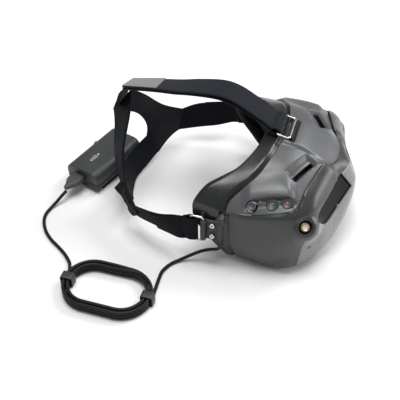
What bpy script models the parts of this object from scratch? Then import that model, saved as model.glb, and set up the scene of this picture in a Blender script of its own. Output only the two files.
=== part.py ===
"""FPV goggles with a head strap, a battery pack on a lead and the coiled spare length of that lead.

Model frame: millimetres, the wearer looks along -Y, the wearer's right is -X, +Z is up and the
table is Z = 0. Every object is built in that frame, scaled to metres and shifted by ROW_ORIGIN,
so that the world origin lies under the middle of the goggles, strap and battery.
"""
import math

import bmesh
import bpy
import numpy as np
from mathutils import Matrix, Vector
from mathutils.bvhtree import BVHTree

# ---------------------------------------------------------------- driving dimensions (mm)
MM = 0.001
GAP = 0.3                      # clearance between neighbouring pieces
ROW_ORIGIN = (0.0, 74.5)       # model X, Y that become the world's X = Y = 0
SHELL = 2.0                    # wall of the housing panels
INNER_DRAW = 0.5               # how much further a panel's inner edge is drawn back
STRAP_WIDTH = 27.0
WEB = 1.8                      # webbing thickness
TOP_STRAP_THICKNESS = 4.4      # two layers, lying slightly apart
SIDE_STRAP_THICKNESS = 2.4
WIRE = 1.0                     # radius of the strap rings' wire
RING_LONG = 30.0
RING_SHORT = 12.0
LENS_X = 32.0                  # half the distance between the eyepieces at rest
LENS_Z = 61.0
BARREL_R = 21.5
BUTTON_R = 4.9
BUTTON_TRAVEL = 0.8
SMA_HOLE_R = 6.5
CORD_R = 1.65
BATTERY_LENGTH = 72.0
BATTERY_WIDTH = 40.0
BATTERY_TURN = -17.0           # degrees from the X axis
BATTERY_CENTRE = (6.0, 190.0)
HANK_CENTRE = (-152.0, 124.0)
HANK_LENGTH = 86.0
HANK_WIDTH = 56.0
HANK_TURN = 90.0               # degrees from the X axis to the hank's long direction
HANK_BUNDLE = (8.6, 10.4)      # width and height of the wound turns
HANK_BASE = 1.3

COLOURS = {
    "grey_plastic": ((0.16, 0.17, 0.17), 0.55, 0.0),
    "dark_plastic": ((0.07, 0.075, 0.08), 0.5, 0.0),
    "flange_rubber": ((0.035, 0.04, 0.04), 0.45, 0.0),
    "gloss_visor": ((0.02, 0.02, 0.015), 0.12, 0.0),
    "satin_cover": ((0.2, 0.2, 0.2), 0.3, 0.0),
    "black_plastic": ((0.02, 0.02, 0.022), 0.45, 0.0),
    "foam": ((0.03, 0.03, 0.032), 0.9, 0.0),
    "lens_glass": ((0.6, 0.65, 0.7), 0.05, 0.0),
    "circuit": ((0.02, 0.09, 0.05), 0.5, 0.0),
    "gold": ((0.8, 0.6, 0.3), 0.3, 1.0),
    "nickel": ((0.65, 0.66, 0.68), 0.25, 1.0),
    "webbing": ((0.012, 0.013, 0.02), 0.9, 0.0),
    "yoke_rubber": ((0.015, 0.016, 0.018), 0.6, 0.0),
    "cord_rubber": ((0.02, 0.02, 0.022), 0.5, 0.0),
    "cell_wrap": ((0.05, 0.1, 0.3), 0.4, 0.0),
}

# Half cage of the housing. Rings run from the rear rim to the front; the points of a ring run
# from the top centre over the shoulder and down the side to the bottom centre.
CAGE = [
    # rear rim of the face flange
    [(0, 18, 101), (16, 17.5, 101.5), (34, 21.5, 99.5), (50, 30, 92.6), (62, 43, 86), (74, 55, 81),
     (82, 63, 70), (85, 66, 57), (84.5, 58, 40), (83, 45, 22), (80, 32, 5), (62, 21, 1),
     (38, 16, 9), (17, 12, 25), (0, 12, 35)],
    # seam between the flange and the housing
    [(0, 0, 102), (17, 1, 102), (34, 3, 101), (48, 7.5, 97.5), (60, 13, 89.5), (78, 34, 76),
     (85, 34, 66), (86, 31, 60), (86.5, 30, 42), (85, 29, 24), (80.5, 22, 6), (62, 12, 2),
     (38, 7, 9), (17, 3, 25), (0, 2, 35)],
    [(0, -9, 101), (16, -9, 101), (33, -6, 100), (47, -3, 96.5), (60, 2, 89), (74, 12, 79),
     (85.5, 12, 68.5), (88, 11.5, 66), (91, 8, 42), (88, 8, 20), (80, 8, 4.5), (62, -2, 4),
     (38, -5, 11), (17, -9, 25), (0, -10, 33)],
    [(0, -20, 99), (16, -20, 99), (31, -16, 98.5), (46, -13, 95), (60, -9, 89), (72, -8, 81),
     (83, -8, 73.5), (86.5, -9, 71), (91, -10, 44), (88, -9, 20), (82, -5, 3), (62, -14, 6),
     (38, -17, 13), (17, -20, 24), (0, -21, 31)],
    # front seam of the top housing, then the side
    [(0, -52, 86.5), (15.5, -51.5, 86), (26, -40, 92.5), (47, -34, 88), (60, -30.5, 84.5),
     (70, -30, 78.5), (77, -24, 76), (82, -25, 73), (86, -29, 48), (83, -26, 22), (80, -20, 3),
     (60, -28, 9), (38, -30, 16), (17, -32, 24), (0, -33, 28)],
    # brow
    [(0, -58, 83), (16, -55.5, 82), (30, -47, 86.5), (46, -42, 84.5), (59, -40, 82),
     (69, -39, 76), (76, -36, 70), (78, -37, 66), (80, -38, 50), (79, -36, 26), (77, -34, 6),
     (60, -42, 13), (38, -44, 20), (17, -46, 26), (0, -47, 28)],
    # upper edge of the glossy fields and side edge of the front cover
    [(0, -64.5, 79), (15, -56, 76.5), (30, -52, 75), (45, -49.5, 72), (57, -47, 68), (65, -46, 65),
     (69, -47, 62), (69.5, -47.5, 59), (69, -47, 50), (70, -44, 28), (68, -44, 11), (56, -52, 17),
     (36, -56, 22), (17, -58, 27), (0, -59, 29)],
    # lower edge of the glossy fields
    [(0, -70, 62), (9, -69, 59.5), (24, -64, 56), (37, -60, 53.5), (47, -57, 51.5), (53, -55, 50),
     (57, -53.5, 49), (59, -53, 47), (60, -53, 42), (60, -54, 30), (58, -55, 19), (47, -61, 20),
     (30, -65, 24), (15, -67, 28), (0, -68, 30)],
]
# middle row of the nose of the front cover, from the centre outwards
NOSE_ROW = [(0, -72, 46), (12, -71, 44), (27, -68.5, 40), (39, -64, 37.5), (47, -60, 36), (53, -57, 37)]
RIM, SEAM, TOP_FRONT, BROW, VISOR_TOP, VISOR_LOW = 0, 1, 4, 5, 6, 7
SIDE_COLUMN, COVER_COLUMN, BOTTOM_COLUMN = 6, 8, 10
PANELS = ["face_flange", "top_housing", "main_shell", "bottom_shell", "front_cover", "visor_right",
          "visor_left"]


# ---------------------------------------------------------------- helpers
def clear_scene():
    for item in list(bpy.data.objects):
        bpy.data.objects.remove(item, do_unlink=True)


def material(name):
    found = bpy.data.materials.get(name)
    if found:
        return found
    made = bpy.data.materials.new(name)
    made.use_nodes = True
    colour, roughness, metallic = COLOURS[name]
    shader = made.node_tree.nodes["Principled BSDF"]
    shader.inputs["Base Color"].default_value = (*colour, 1.0)
    shader.inputs["Roughness"].default_value = roughness
    shader.inputs["Metallic"].default_value = metallic
    return made


def to_world(point):
    """A point of the model frame, in mm, as a world position in metres."""
    return Vector(((point[0] - ROW_ORIGIN[0]) * MM, (point[1] - ROW_ORIGIN[1]) * MM, point[2] * MM))


def add_object(name, mesh_mm, finish, pivot=(0, 0, 0)):
    """Link a mesh that was built in mm; pivot is the model point that becomes its origin."""
    bm = bmesh.new()
    bm.from_mesh(mesh_mm)
    bmesh.ops.translate(bm, verts=bm.verts, vec=-Vector(pivot))
    bmesh.ops.scale(bm, verts=bm.verts, vec=(MM, MM, MM))
    bmesh.ops.recalc_face_normals(bm, faces=bm.faces)
    mesh = bpy.data.meshes.new(name)
    bm.to_mesh(mesh)
    bm.free()
    mesh.materials.clear()
    mesh.materials.append(material(finish))
    mesh.shade_smooth()
    mesh.set_sharp_from_angle(angle=math.radians(35))
    item = bpy.data.objects.new(name, mesh)
    item.location = to_world(pivot)
    bpy.context.scene.collection.objects.link(item)
    return item


def mesh_from(verts, faces):
    mesh = bpy.data.meshes.new("shape")
    mesh.from_pydata([tuple(v) for v in verts], [], faces)
    return mesh


def frame_matrix(origin, z_axis, x_hint=(0, 0, 1)):
    """Matrix whose local Z is z_axis and whose local X lies close to x_hint."""
    z = Vector(z_axis).normalized()
    hint = Vector(x_hint)
    if abs(z.dot(hint.normalized())) > 0.95:
        hint = Vector((0, 1, 0))
    x = (hint - z * hint.dot(z)).normalized()
    y = z.cross(x)
    m = Matrix((x, y, z)).transposed().to_4x4()
    m.translation = Vector(origin)
    return m


def placed(mesh, matrix):
    mesh.transform(matrix)
    return mesh


def lathe(profile, sides=24):
    """Turn a closed (radius, height) outline about local Z."""
    verts, rings = [], []
    for radius, height in profile:
        if radius == 0:
            rings.append([len(verts)])
            verts.append((0, 0, height))
        else:
            rings.append(list(range(len(verts), len(verts) + sides)))
            for k in range(sides):
                a = 2 * math.pi * k / sides
                verts.append((radius * math.cos(a), radius * math.sin(a), height))
    faces = []
    for a, b in zip(rings, rings[1:] + rings[:1]):
        for k in range(sides):
            n = (k + 1) % sides
            if len(a) > 1 and len(b) > 1:
                faces.append((a[k], a[n], b[n], b[k]))
            elif len(a) > 1:
                faces.append((a[k], a[n], b[0]))
            elif len(b) > 1:
                faces.append((a[0], b[n], b[k]))
    return mesh_from(verts, faces)


def prism(outline, low, high, hole=None):
    """Extrude a closed 2-D outline between two heights, with an optional matching hole loop."""
    n = len(outline)
    verts = [(x, y, low) for x, y in outline] + [(x, y, high) for x, y in outline]
    faces = [(k, (k + 1) % n, n + (k + 1) % n, n + k) for k in range(n)]
    if hole is None:
        faces += [tuple(range(n - 1, -1, -1)), tuple(range(n, 2 * n))]
        return mesh_from(verts, faces)
    verts += [(x, y, low) for x, y in hole] + [(x, y, high) for x, y in hole]
    for k in range(n):
        m = (k + 1) % n
        faces.append((2 * n + m, 2 * n + k, 3 * n + k, 3 * n + m))
        faces.append((k, 2 * n + k, 2 * n + m, m))
        faces.append((n + k, n + m, 3 * n + m, 3 * n + k))
    return mesh_from(verts, faces)


def rounded_rectangle(length, width, radius, steps=4):
    points = []
    for corner, (sx, sy) in enumerate([(1, 1), (-1, 1), (-1, -1), (1, -1)]):
        cx, cy = sx * (length / 2 - radius), sy * (width / 2 - radius)
        for k in range(steps + 1):
            a = math.radians(90 * corner + 90 * k / steps)
            points.append((cx + radius * math.cos(a), cy + radius * math.sin(a)))
    return points


def circle(radius, sides, centre=(0, 0)):
    return [(centre[0] + radius * math.cos(2 * math.pi * k / sides),
             centre[1] + radius * math.sin(2 * math.pi * k / sides)) for k in range(sides)]


def sweep(path, section, closed=False):
    """Sweep a 2-D section along a path; each path entry is (centre, side, normal)."""
    count, n = len(path), len(section)
    verts, faces = [], []
    for centre, side, normal in path:
        for u, v in section:
            verts.append(Vector(centre) + Vector(side) * u + Vector(normal) * v)
    last = count if closed else count - 1
    for i in range(last):
        j = (i + 1) % count
        for k in range(n):
            m = (k + 1) % n
            faces.append((i * n + k, i * n + m, j * n + m, j * n + k))
    if not closed:
        faces.append(tuple(range(n - 1, -1, -1)))
        faces.append(tuple((count - 1) * n + k for k in range(n)))
    return mesh_from(verts, faces)


def smooth_points(points, per_span):
    """Catmull-Rom curve through points (any dimension), per_span samples to each span."""
    pts = [np.array(p, float) for p in points]
    pts = [2 * pts[0] - pts[1]] + pts + [2 * pts[-1] - pts[-2]]
    out = []
    for i in range(1, len(pts) - 2):
        a, b, c, d = pts[i - 1:i + 3]
        for k in range(per_span):
            t = k / per_span
            out.append(0.5 * (2 * b + (c - a) * t + (2 * a - 5 * b + 4 * c - d) * t ** 2
                              + (3 * b - a - 3 * c + d) * t ** 3))
    out.append(pts[-2])
    return out


def ribbon(stations, width, thickness, per_span=4):
    """A strap: stations are (centre, direction across the strap); it is a flat closed band."""
    rows = smooth_points([tuple(c) + tuple(Vector(x).normalized()) for c, x in stations], per_span)
    centres = [Vector(r[:3]) for r in rows]
    path = []
    for i, row in enumerate(rows):
        along = (centres[min(i + 1, len(rows) - 1)] - centres[max(i - 1, 0)]).normalized()
        across = Vector(row[3:])
        across = (across - along * across.dot(along)).normalized()
        path.append((centres[i], across, along.cross(across)))
    w, t = width / 2, thickness / 2
    return sweep(path, [(-w, -t), (w, -t), (w, t), (-w, t)])


def apply_boolean(mesh, tools, operation="DIFFERENCE"):
    """Cut or join tool meshes with the exact solver and return the result."""
    base = bpy.data.objects.new("base", mesh)
    bpy.context.scene.collection.objects.link(base)
    helpers = []
    for tool in tools:
        clean = bmesh.new()
        clean.from_mesh(tool)
        bmesh.ops.recalc_face_normals(clean, faces=clean.faces)
        clean.to_mesh(tool)
        clean.free()
        helper = bpy.data.objects.new("tool", tool)
        bpy.context.scene.collection.objects.link(helper)
        helpers.append(helper)
        step = base.modifiers.new("cut", "BOOLEAN")
        step.operation = operation
        step.solver = "EXACT"
        step.object = helper
    graph = bpy.context.evaluated_depsgraph_get()
    result = bpy.data.meshes.new_from_object(base.evaluated_get(graph))
    for item in [base, *helpers]:
        bpy.data.objects.remove(item, do_unlink=True)
    return result


def facing_out(mesh):
    bm = bmesh.new()
    bm.from_mesh(mesh)
    bmesh.ops.recalc_face_normals(bm, faces=bm.faces)
    bm.to_mesh(mesh)
    bm.free()
    return mesh


# ---------------------------------------------------------------- housing
def panel_of(ring, column):
    if ring == RIM:
        return "face_flange"
    if ring < TOP_FRONT:
        if column < SIDE_COLUMN:
            return "top_housing"
        return "main_shell" if column < BOTTOM_COLUMN else "bottom_shell"
    if ring < VISOR_TOP:
        if ring == BROW and COVER_COLUMN <= column < BOTTOM_COLUMN:
            return "front_cover"
        return "main_shell" if column < BOTTOM_COLUMN else "bottom_shell"
    return "visor" if 1 <= column < SIDE_COLUMN else "front_cover"


def crease_of(ring_a, column_a, ring_b, column_b):
    """How sharp the cage edge between two cage points is."""
    if ring_a == ring_b:
        if ring_a in (RIM, SEAM):
            return 0.5
        if ring_a == TOP_FRONT and max(column_a, column_b) <= SIDE_COLUMN:
            return 0.6
        if ring_a in (VISOR_TOP, VISOR_LOW) and max(column_a, column_b) <= SIDE_COLUMN:
            return 0.7
        return 0.0
    if column_a == SIDE_COLUMN and max(ring_a, ring_b) <= TOP_FRONT:
        return 0.5
    if column_a == BOTTOM_COLUMN:
        return 0.5
    return 0.0


def housing_cage():
    """Full cage mesh with a panel number on each face."""
    bm = bmesh.new()
    crease = bm.edges.layers.float.new("crease_edge")
    last = len(CAGE[0]) - 1
    grids = {}
    for side in (-1, 1):
        for r, ring in enumerate(CAGE):
            for c, (x, y, z) in enumerate(ring):
                centre = c in (0, last)
                if centre and side == 1:
                    grids[side, r, c] = grids[-1, r, c]
                else:
                    grids[side, r, c] = bm.verts.new((side * x, y, z))
    nose = {}
    for side in (-1, 1):
        for c, (x, y, z) in enumerate(NOSE_ROW):
            nose[side, c] = nose[-1, 0] if c == 0 and side == 1 else bm.verts.new((side * x, y, z))
        nose[side, len(NOSE_ROW)] = grids[side, VISOR_LOW, 7]

    def quad(corners, side, panel):
        face = bm.faces.new(corners if side == -1 else corners[::-1])
        if panel == "visor":
            panel = "visor_right" if side == -1 else "visor_left"
        face.material_index = PANELS.index(panel)

    for side in (-1, 1):
        for r in range(len(CAGE) - 1):
            for c in range(last):
                quad([grids[side, r, c], grids[side, r, c + 1], grids[side, r + 1, c + 1],
                      grids[side, r + 1, c]], side, panel_of(r, c))
        for c in range(len(NOSE_ROW)):
            top = [grids[side, VISOR_LOW, c], grids[side, VISOR_LOW, c + 1]]
            low = [grids[side, VISOR_LOW, last - 1 - c], grids[side, VISOR_LOW, last - c]]
            quad([*top, nose[side, c + 1], nose[side, c]], side, "front_cover")
            quad([nose[side, c], nose[side, c + 1], *low], side, "front_cover")
    place = {v: key for key, v in grids.items()}
    for edge in bm.edges:
        a, b = (place.get(v) for v in edge.verts)
        if a and b:
            edge[crease] = crease_of(a[1], a[2], b[1], b[2])
    mesh = bpy.data.meshes.new("housing_cage")
    bm.to_mesh(mesh)
    bm.free()
    for name in PANELS:
        mesh.materials.append(material("dark_plastic"))
    return mesh


def housing_surface(levels=1):
    """The cage after subdivision: points, unit normals, faces and panel numbers."""
    item = bpy.data.objects.new("cage", housing_cage())
    bpy.context.scene.collection.objects.link(item)
    subdivision = item.modifiers.new("surface", "SUBSURF")
    subdivision.levels = levels
    subdivision.render_levels = levels
    graph = bpy.context.evaluated_depsgraph_get()
    mesh = bpy.data.meshes.new_from_object(item.evaluated_get(graph))
    bpy.data.objects.remove(item, do_unlink=True)
    points = [v.co.copy() for v in mesh.vertices]
    normals = [v.normal.copy() for v in mesh.vertices]
    faces = [tuple(p.vertices) for p in mesh.polygons]
    panels = [p.material_index for p in mesh.polygons]
    return points, normals, faces, panels


def panel_solid(surface, panel, thickness=SHELL):
    """One housing panel as a closed wall, drawn back half a gap along its own edges."""
    points, normals, faces, panels = surface
    own = [f for f, p in zip(faces, panels) if p == panel]
    edge_use = {}
    for face in own:
        for a, b in zip(face, face[1:] + face[:1]):
            edge_use.setdefault(frozenset((a, b)), []).append((a, b))
    border = [use[0] for use in edge_use.values() if len(use) == 1]
    inward = {}
    for a, b in border:
        along = (points[b] - points[a]).normalized()
        for v in (a, b):
            inward.setdefault(v, []).append(normals[v].cross(along).normalized())
    index, outer = {}, []
    for face in own:
        for v in face:
            if v not in index:
                index[v] = len(outer)
                shift = Vector()
                if v in inward:
                    mean = sum(inward[v], Vector()).normalized()
                    shift = mean / max(mean.dot(inward[v][0]), 0.5)
                outer.append((points[v] + shift * (GAP / 2 + 0.02),
                              points[v] + shift * (GAP / 2 + INNER_DRAW) - normals[v] * thickness))
    n = len(outer)
    verts = [p for p, _ in outer] + [p for _, p in outer]
    solid = [tuple(index[v] for v in f) for f in own]
    solid += [tuple(n + index[v] for v in reversed(f)) for f in own]
    solid += [(index[b], index[a], n + index[a], n + index[b]) for a, b in border]
    return facing_out(mesh_from(verts, solid))


# Antenna sockets: centre and outward direction on the right side; the left side mirrors them.
SOCKETS = {
    "upper": ((-77.0, -37.0, 61.0), (-0.74, -0.38, 0.56), 11.5),
    "lower": ((-77.0, -23.0, 7.1), (-0.62, -0.32, -0.72), 9.5),
}
CONE_STEP = 2.5                # how much narrower a socket's cone is at its top
WELL_ROOM = 0.35               # clearance round a button in its well
# Vent slot on the right of the top housing.
VENT_CENTRE = (-38.0, -25.0, 92.0)
VENT_ALONG = (-25.0, 13.0, 0.0)
VENT_LENGTH, VENT_WIDTH = 26.0, 5.0
# Power plug in the right temple: centre of its round head.
PLUG_HEAD = (-91.0, 36.0, 61.0)
PLUG_STEM_X = -91.7
PLUG_STEM_LOW = 30.0
# Controls on the right shoulder.
CONTROL_NORMAL = (-0.64, 0.03, 0.77)
CONTROLS = {
    "joystick": (-78.5, 11.0, 73.5),
    "back": (-76.0, -6.0, 78.2),
    "record": (-72.0, -18.5, 80.4),
}
LINK_BUTTON = (76.0, -6.0, 78.2)


def mirrored(vector, side):
    """The same place or direction on the right (side 1) or on the left (side -1)."""
    return (vector[0] * side, vector[1], vector[2])


def cylinder_at(centre, direction, radius, low, high, sides=24):
    """A cylinder along a direction, from low to high as measured from its centre point."""
    outline = circle(radius, sides)
    return placed(prism(outline, low, high), frame_matrix(centre, direction))


def snapped(surface, point, direction):
    """The place on the housing's surface straight under or over a nearby point."""
    tree = BVHTree.FromPolygons(surface[0], surface[2])
    axis = Vector(direction).normalized()
    hit = tree.ray_cast(Vector(point) + axis * 15, -axis)
    return hit[0]


def cone_clearances(level):
    """Room for both sockets of one level, to cut from the panels beside them."""
    centre, direction, radius = SOCKETS[level]
    wide, narrow = radius + GAP, radius - CONE_STEP + GAP
    shape = [(0, -8), (wide, -8), (wide, 1), (narrow, 5), (0, 5)]
    return [placed(lathe(shape), frame_matrix(mirrored(centre, side), mirrored(direction, side)))
            for side in (1, -1)]


def build_housing(surface):
    solids = {name: panel_solid(surface, k) for k, name in enumerate(PANELS)}
    cones, holes = [], []
    for centre, direction, radius in SOCKETS.values():
        for side in (1, -1):
            place = frame_matrix(mirrored(centre, side), mirrored(direction, side))
            cone = lathe([(0, -6), (radius, -6), (radius, 0), (radius - CONE_STEP, 3), (0, 3)])
            cones.append(facing_out(placed(cone, place)))
            holes.append(placed(lathe([(0, -15), (SMA_HOLE_R, -15), (SMA_HOLE_R, 6), (0, 6)]), place))
    keep = apply_boolean(solids["main_shell"], cones, "UNION")
    solids["main_shell"] = apply_boolean(keep, holes)
    solids["bottom_shell"] = apply_boolean(solids["bottom_shell"], cone_clearances("lower"))
    for name in ("front_cover", "visor_right", "visor_left"):
        solids[name] = apply_boolean(solids[name], cone_clearances("upper"))
    well_r = BUTTON_R + WELL_ROOM
    wells = [cylinder_at(centre, CONTROL_NORMAL, well_r, -9, 9) for centre in CONTROLS.values()]
    wells.append(cylinder_at(LINK_BUTTON, mirrored(CONTROL_NORMAL, -1), well_r, -9, 9))
    for side in (-1, 1):
        vent = prism(rounded_rectangle(VENT_LENGTH, VENT_WIDTH, 1.5, 2), -12, 12)
        wells.append(placed(vent, frame_matrix(mirrored(VENT_CENTRE, side), (0, 0, 1),
                                               mirrored(VENT_ALONG, side))))
    solids["top_housing"] = apply_boolean(solids["top_housing"], wells)
    slots = []
    for side in (-1, 1):
        box = prism(rounded_rectangle(2 * 7.5, 12, 2), 0, 20)
        slots.append(placed(box, Matrix.Translation((side * KNOB_X, KNOB_Y, 0))))
    solids["bottom_shell"] = apply_boolean(solids["bottom_shell"], slots)
    jack_hole = cylinder_at(PLUG_HEAD, (1, 0, 0), 3.4, 0, 16)
    solids["face_flange"] = apply_boolean(solids["face_flange"], [jack_hole])
    finishes = ["flange_rubber", "grey_plastic", "dark_plastic", "dark_plastic", "satin_cover",
                "gloss_visor", "gloss_visor"]
    for name, finish in zip(PANELS, finishes):
        add_object(name, solids[name], finish)


# ---------------------------------------------------------------- optics and electronics
KNOB_X, KNOB_Y = 40.0, -18.0
KNOB_LOW = 6.5
PLATE_Y = 1.4
# right half of the inner plate's outline (x, z), from the top centre down to the nose
PLATE_HALF = [(0, 97), (30, 96), (45, 92), (57, 85), (70, 75), (79, 66), (83, 57), (83, 25), (76, 11),
              (62, 10), (42, 16), (22, 30), (0, 39)]


def build_optics():
    for side, word in ((-1, "right"), (1, "left")):
        pivot = (side * LENS_X, -4, LENS_Z)
        place = frame_matrix(pivot, (0, 1, 0))
        tube = lathe([(BARREL_R, -33), (BARREL_R, 0), (BARREL_R - 3, 0), (BARREL_R - 3, -33)], 28)
        add_object(f"lens_barrel_{word}", placed(tube, place), "black_plastic", pivot)
        bulge = [(0, -6.5), (12, -5.5), (BARREL_R - 3.3, -3), (BARREL_R - 3.3, -1), (12, 2.2), (0, 3.2)]
        add_object(f"eyepiece_lens_{word}", placed(lathe(bulge, 28), place), "lens_glass", pivot)
        screen = placed(prism(rounded_rectangle(30, 28, 2), -37, -33.4), place)
        add_object(f"display_{word}", screen, "black_plastic", pivot)
        knob = prism(rounded_rectangle(8, 6, 1.5), KNOB_LOW, 36)
        knob = placed(knob, Matrix.Translation((side * KNOB_X, KNOB_Y, 0)))
        add_object(f"ipd_slider_{word}", knob, "black_plastic", (side * KNOB_X, KNOB_Y, 20))
    rail = placed(prism(circle(1.5, 12), -30, 30), frame_matrix((0, -28, 37.2), (1, 0, 0)))
    add_object("ipd_rail", rail, "nickel")
    outline = [*PLATE_HALF, *[(-x, z) for x, z in PLATE_HALF[-2:0:-1]]]
    plate = placed(prism(outline, -PLATE_Y - 1.2, -PLATE_Y + 1.2), Matrix.Rotation(math.pi / 2, 4, "X"))
    cutters = [cylinder_at((s * LENS_X, PLATE_Y, LENS_Z), (0, 1, 0), BARREL_R - 2, -5, 5, 28)
               for s in (-1, 1)]
    add_object("lens_plate", apply_boolean(facing_out(plate), cutters), "black_plastic")


def build_electronics():
    board = prism(rounded_rectangle(64, 34, 3), 0, 1.6)
    add_object("main_board", placed(board, frame_matrix((0, -45, 56), (0, -1, 0), (1, 0, 0))), "circuit")
    centre = (0, -20, 84.5)
    frame = apply_boolean(facing_out(prism(rounded_rectangle(26, 26, 3), 0, 6)),
                          [prism(circle(11.6, 24), 1.2, 9)])
    add_object("fan_housing", placed(frame, Matrix.Translation(centre)), "black_plastic")
    rotor = lathe([(0, 1.8), (11, 1.8), (11, 2.4), (5, 2.6), (5, 5.4), (0, 5.4)])
    blades = []
    for k in range(7):
        blade = prism([(4.5, -0.5), (10.6, -0.5), (10.6, 0.5), (4.5, 0.5)], 2.2, 5.0)
        blades.append(placed(blade, Matrix.Rotation(2 * math.pi * k / 7, 4, "Z")))
    rotor = apply_boolean(facing_out(rotor), blades, "UNION")
    add_object("fan_rotor", placed(rotor, Matrix.Translation(centre)), "black_plastic", centre)


def build_sockets():
    for level, (centre, direction, _) in SOCKETS.items():
        for side, word in ((1, "right"), (-1, "left")):
            place = frame_matrix(mirrored(centre, side), mirrored(direction, side))
            r = SMA_HOLE_R - GAP
            body = lathe([(0, -9), (r, -9), (r, -6), (4.4, -6), (4.4, -3.5), (3.2, -3.5), (3.2, 1.5),
                          (2.2, 1.5), (2.2, -2), (0, -2)], 16)
            add_object(f"antenna_socket_{level}_{word}", placed(body, place), "gold")


def build_controls(surface):
    normal = Vector(CONTROL_NORMAL).normalized()
    for name in ("back", "record"):
        build_button(f"{name}_button", snapped(surface, CONTROLS[name], normal), normal)
    left_normal = Vector(mirrored(CONTROL_NORMAL, -1)).normalized()
    build_button("link_button", snapped(surface, LINK_BUTTON, left_normal), left_normal)
    centre = snapped(surface, CONTROLS["joystick"], normal)
    pivot = centre - normal * 5.0
    place = frame_matrix(pivot, normal)
    cap = lathe([(0, 1.5), (1.4, 1.5), (1.4, 5.3), (3.5, 5.3), (3.9, 7.6), (3.2, 8.5), (0, 8.0)])
    add_object("joystick_cap", placed(cap, place), "black_plastic", pivot)
    cross = placed(prism(rounded_rectangle(4.4, 4.4, 0.8, 2), -0.6, 0.9), place)
    add_object("joystick_cross", cross, "black_plastic", pivot)
    cradle = placed(prism(rounded_rectangle(7, 7, 1.5, 2), -3.0, -1.4), place)
    add_object("joystick_cradle", cradle, "black_plastic", pivot)


def build_button(name, centre, normal):
    shape = lathe([(0, -3), (BUTTON_R, -3), (BUTTON_R, 0.2), (BUTTON_R - 0.7, 0.9), (0, 0.6)])
    add_object(name, placed(shape, frame_matrix(centre, normal)), "black_plastic", centre)


def build_foam():
    """Padding inside the rear rim of the face flange."""
    rim = CAGE[RIM]
    loop = [(-x, y, z) for x, y, z in rim] + [(x, y, z) for x, y, z in rim[-2:0:-1]]
    centre = Vector((0, 35, 55))
    count = len(loop)
    path = []
    for k, point in enumerate(loop):
        p = Vector(point)
        along = (Vector(loop[(k + 1) % count]) - Vector(loop[k - 1])).normalized()
        inward = Vector((centre.x - p.x, 0, centre.z - p.z))
        inward = (inward - along * inward.dot(along)).normalized()
        back = along.cross(inward)
        if back.y < 0:
            back = -back
        path.append((p + inward * 8.2 - back * 3.5, inward, back))
    section = [(-3.5, -4.5), (3.5, -4.5), (4, 0), (2.5, 4.5), (-2.5, 4.5), (-4, 0)]
    add_object("foam_padding", facing_out(sweep(path, section, closed=True)), "foam")


# ---------------------------------------------------------------- strap hardware
# Side tab and ring, given for the right side (X < 0).
TAB_X = -90.0
RING_FRONT_Y, RING_REAR_Y = 52.3, 64.3
RING_Z = 44.0
TOP_BAR = (0.0, -6.0, 105.0)
TOP_RING_TILT = 12.0


def wire_ring(name, bar_centre, along_bar, outward, pivot):
    """Rectangular wire ring: its front bar is centred on bar_centre, the ring extends outward."""
    bar = Vector(along_bar).normalized()
    out = Vector(outward).normalized()
    normal = bar.cross(out)
    outline = rounded_rectangle(RING_LONG, RING_SHORT, 2.2, 3)
    path = []
    count = len(outline)
    for k, (u, v) in enumerate(outline):
        centre = Vector(bar_centre) + bar * u + out * (v + RING_SHORT / 2)
        a, b = outline[k - 1], outline[(k + 1) % count]
        along = (bar * (b[0] - a[0]) + out * (b[1] - a[1])).normalized()
        path.append((centre, normal.cross(along), normal))
    section = circle(WIRE, 8)
    add_object(name, facing_out(sweep(path, section, closed=True)), "nickel", pivot)


def plate_with_loop(length, thickness, hole_radius, wall, width):
    """A plate along +X whose end at the origin is rolled round a bar along Z."""
    r = hole_radius + wall
    start = hole_radius + 0.2
    outline = [(start, -r), (length, -r), (length, -r + thickness), (start, -r + thickness)]
    plate = prism(outline, -width / 2, width / 2)
    roll = prism(circle(r, 16), -width / 2, width / 2)
    joined = apply_boolean(facing_out(plate), [roll], "UNION")
    return apply_boolean(joined, [prism(circle(hole_radius, 16), -width, width)])


def build_side_hardware():
    for side, word in ((1, "right"), (-1, "left")):
        bar = mirrored((TAB_X, RING_FRONT_Y, RING_Z), side)
        wire_ring(f"{word}_strap_ring", bar, (0, 0, 1), (0, 1, 0), bar)
        plate = plate_with_loop(15.0, 1.6, WIRE + 0.5, 1.3, 24.0)
        turn = Matrix(((0, -side, 0), (-1, 0, 0), (0, 0, -side))).to_4x4()
        add_object(f"{word}_ring_tab", placed(plate, Matrix.Translation(bar) @ turn), "black_plastic")
        for level, z in (("upper", 50.0), ("lower", 36.5)):
            face_x = (TAB_X + 1.2 - GAP) * side
            place = frame_matrix((face_x, 44.2, z), (-side, 0, 0))
            rivet = lathe([(0, 0), (2.9, 0), (2.9, 0.5), (1.8, 1.3), (0, 0.8)], 16)
            add_object(f"{word}_{level}_rivet", placed(rivet, place), "nickel")


def build_top_hardware():
    bar = Vector(TOP_BAR)
    tilt = math.radians(TOP_RING_TILT)
    wire_ring("top_strap_ring", bar, (1, 0, 0), (0, math.cos(tilt), math.sin(tilt)), bar)
    plate = plate_with_loop(9.0, 1.6, WIRE + 0.5, 1.2, 22.0)
    turn = Matrix(((0, 0, -1), (-1, 0, 0), (0, 1, 0))).to_4x4()
    add_object("top_ring_bracket", placed(plate, Matrix.Translation(bar) @ turn), "black_plastic")


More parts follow.
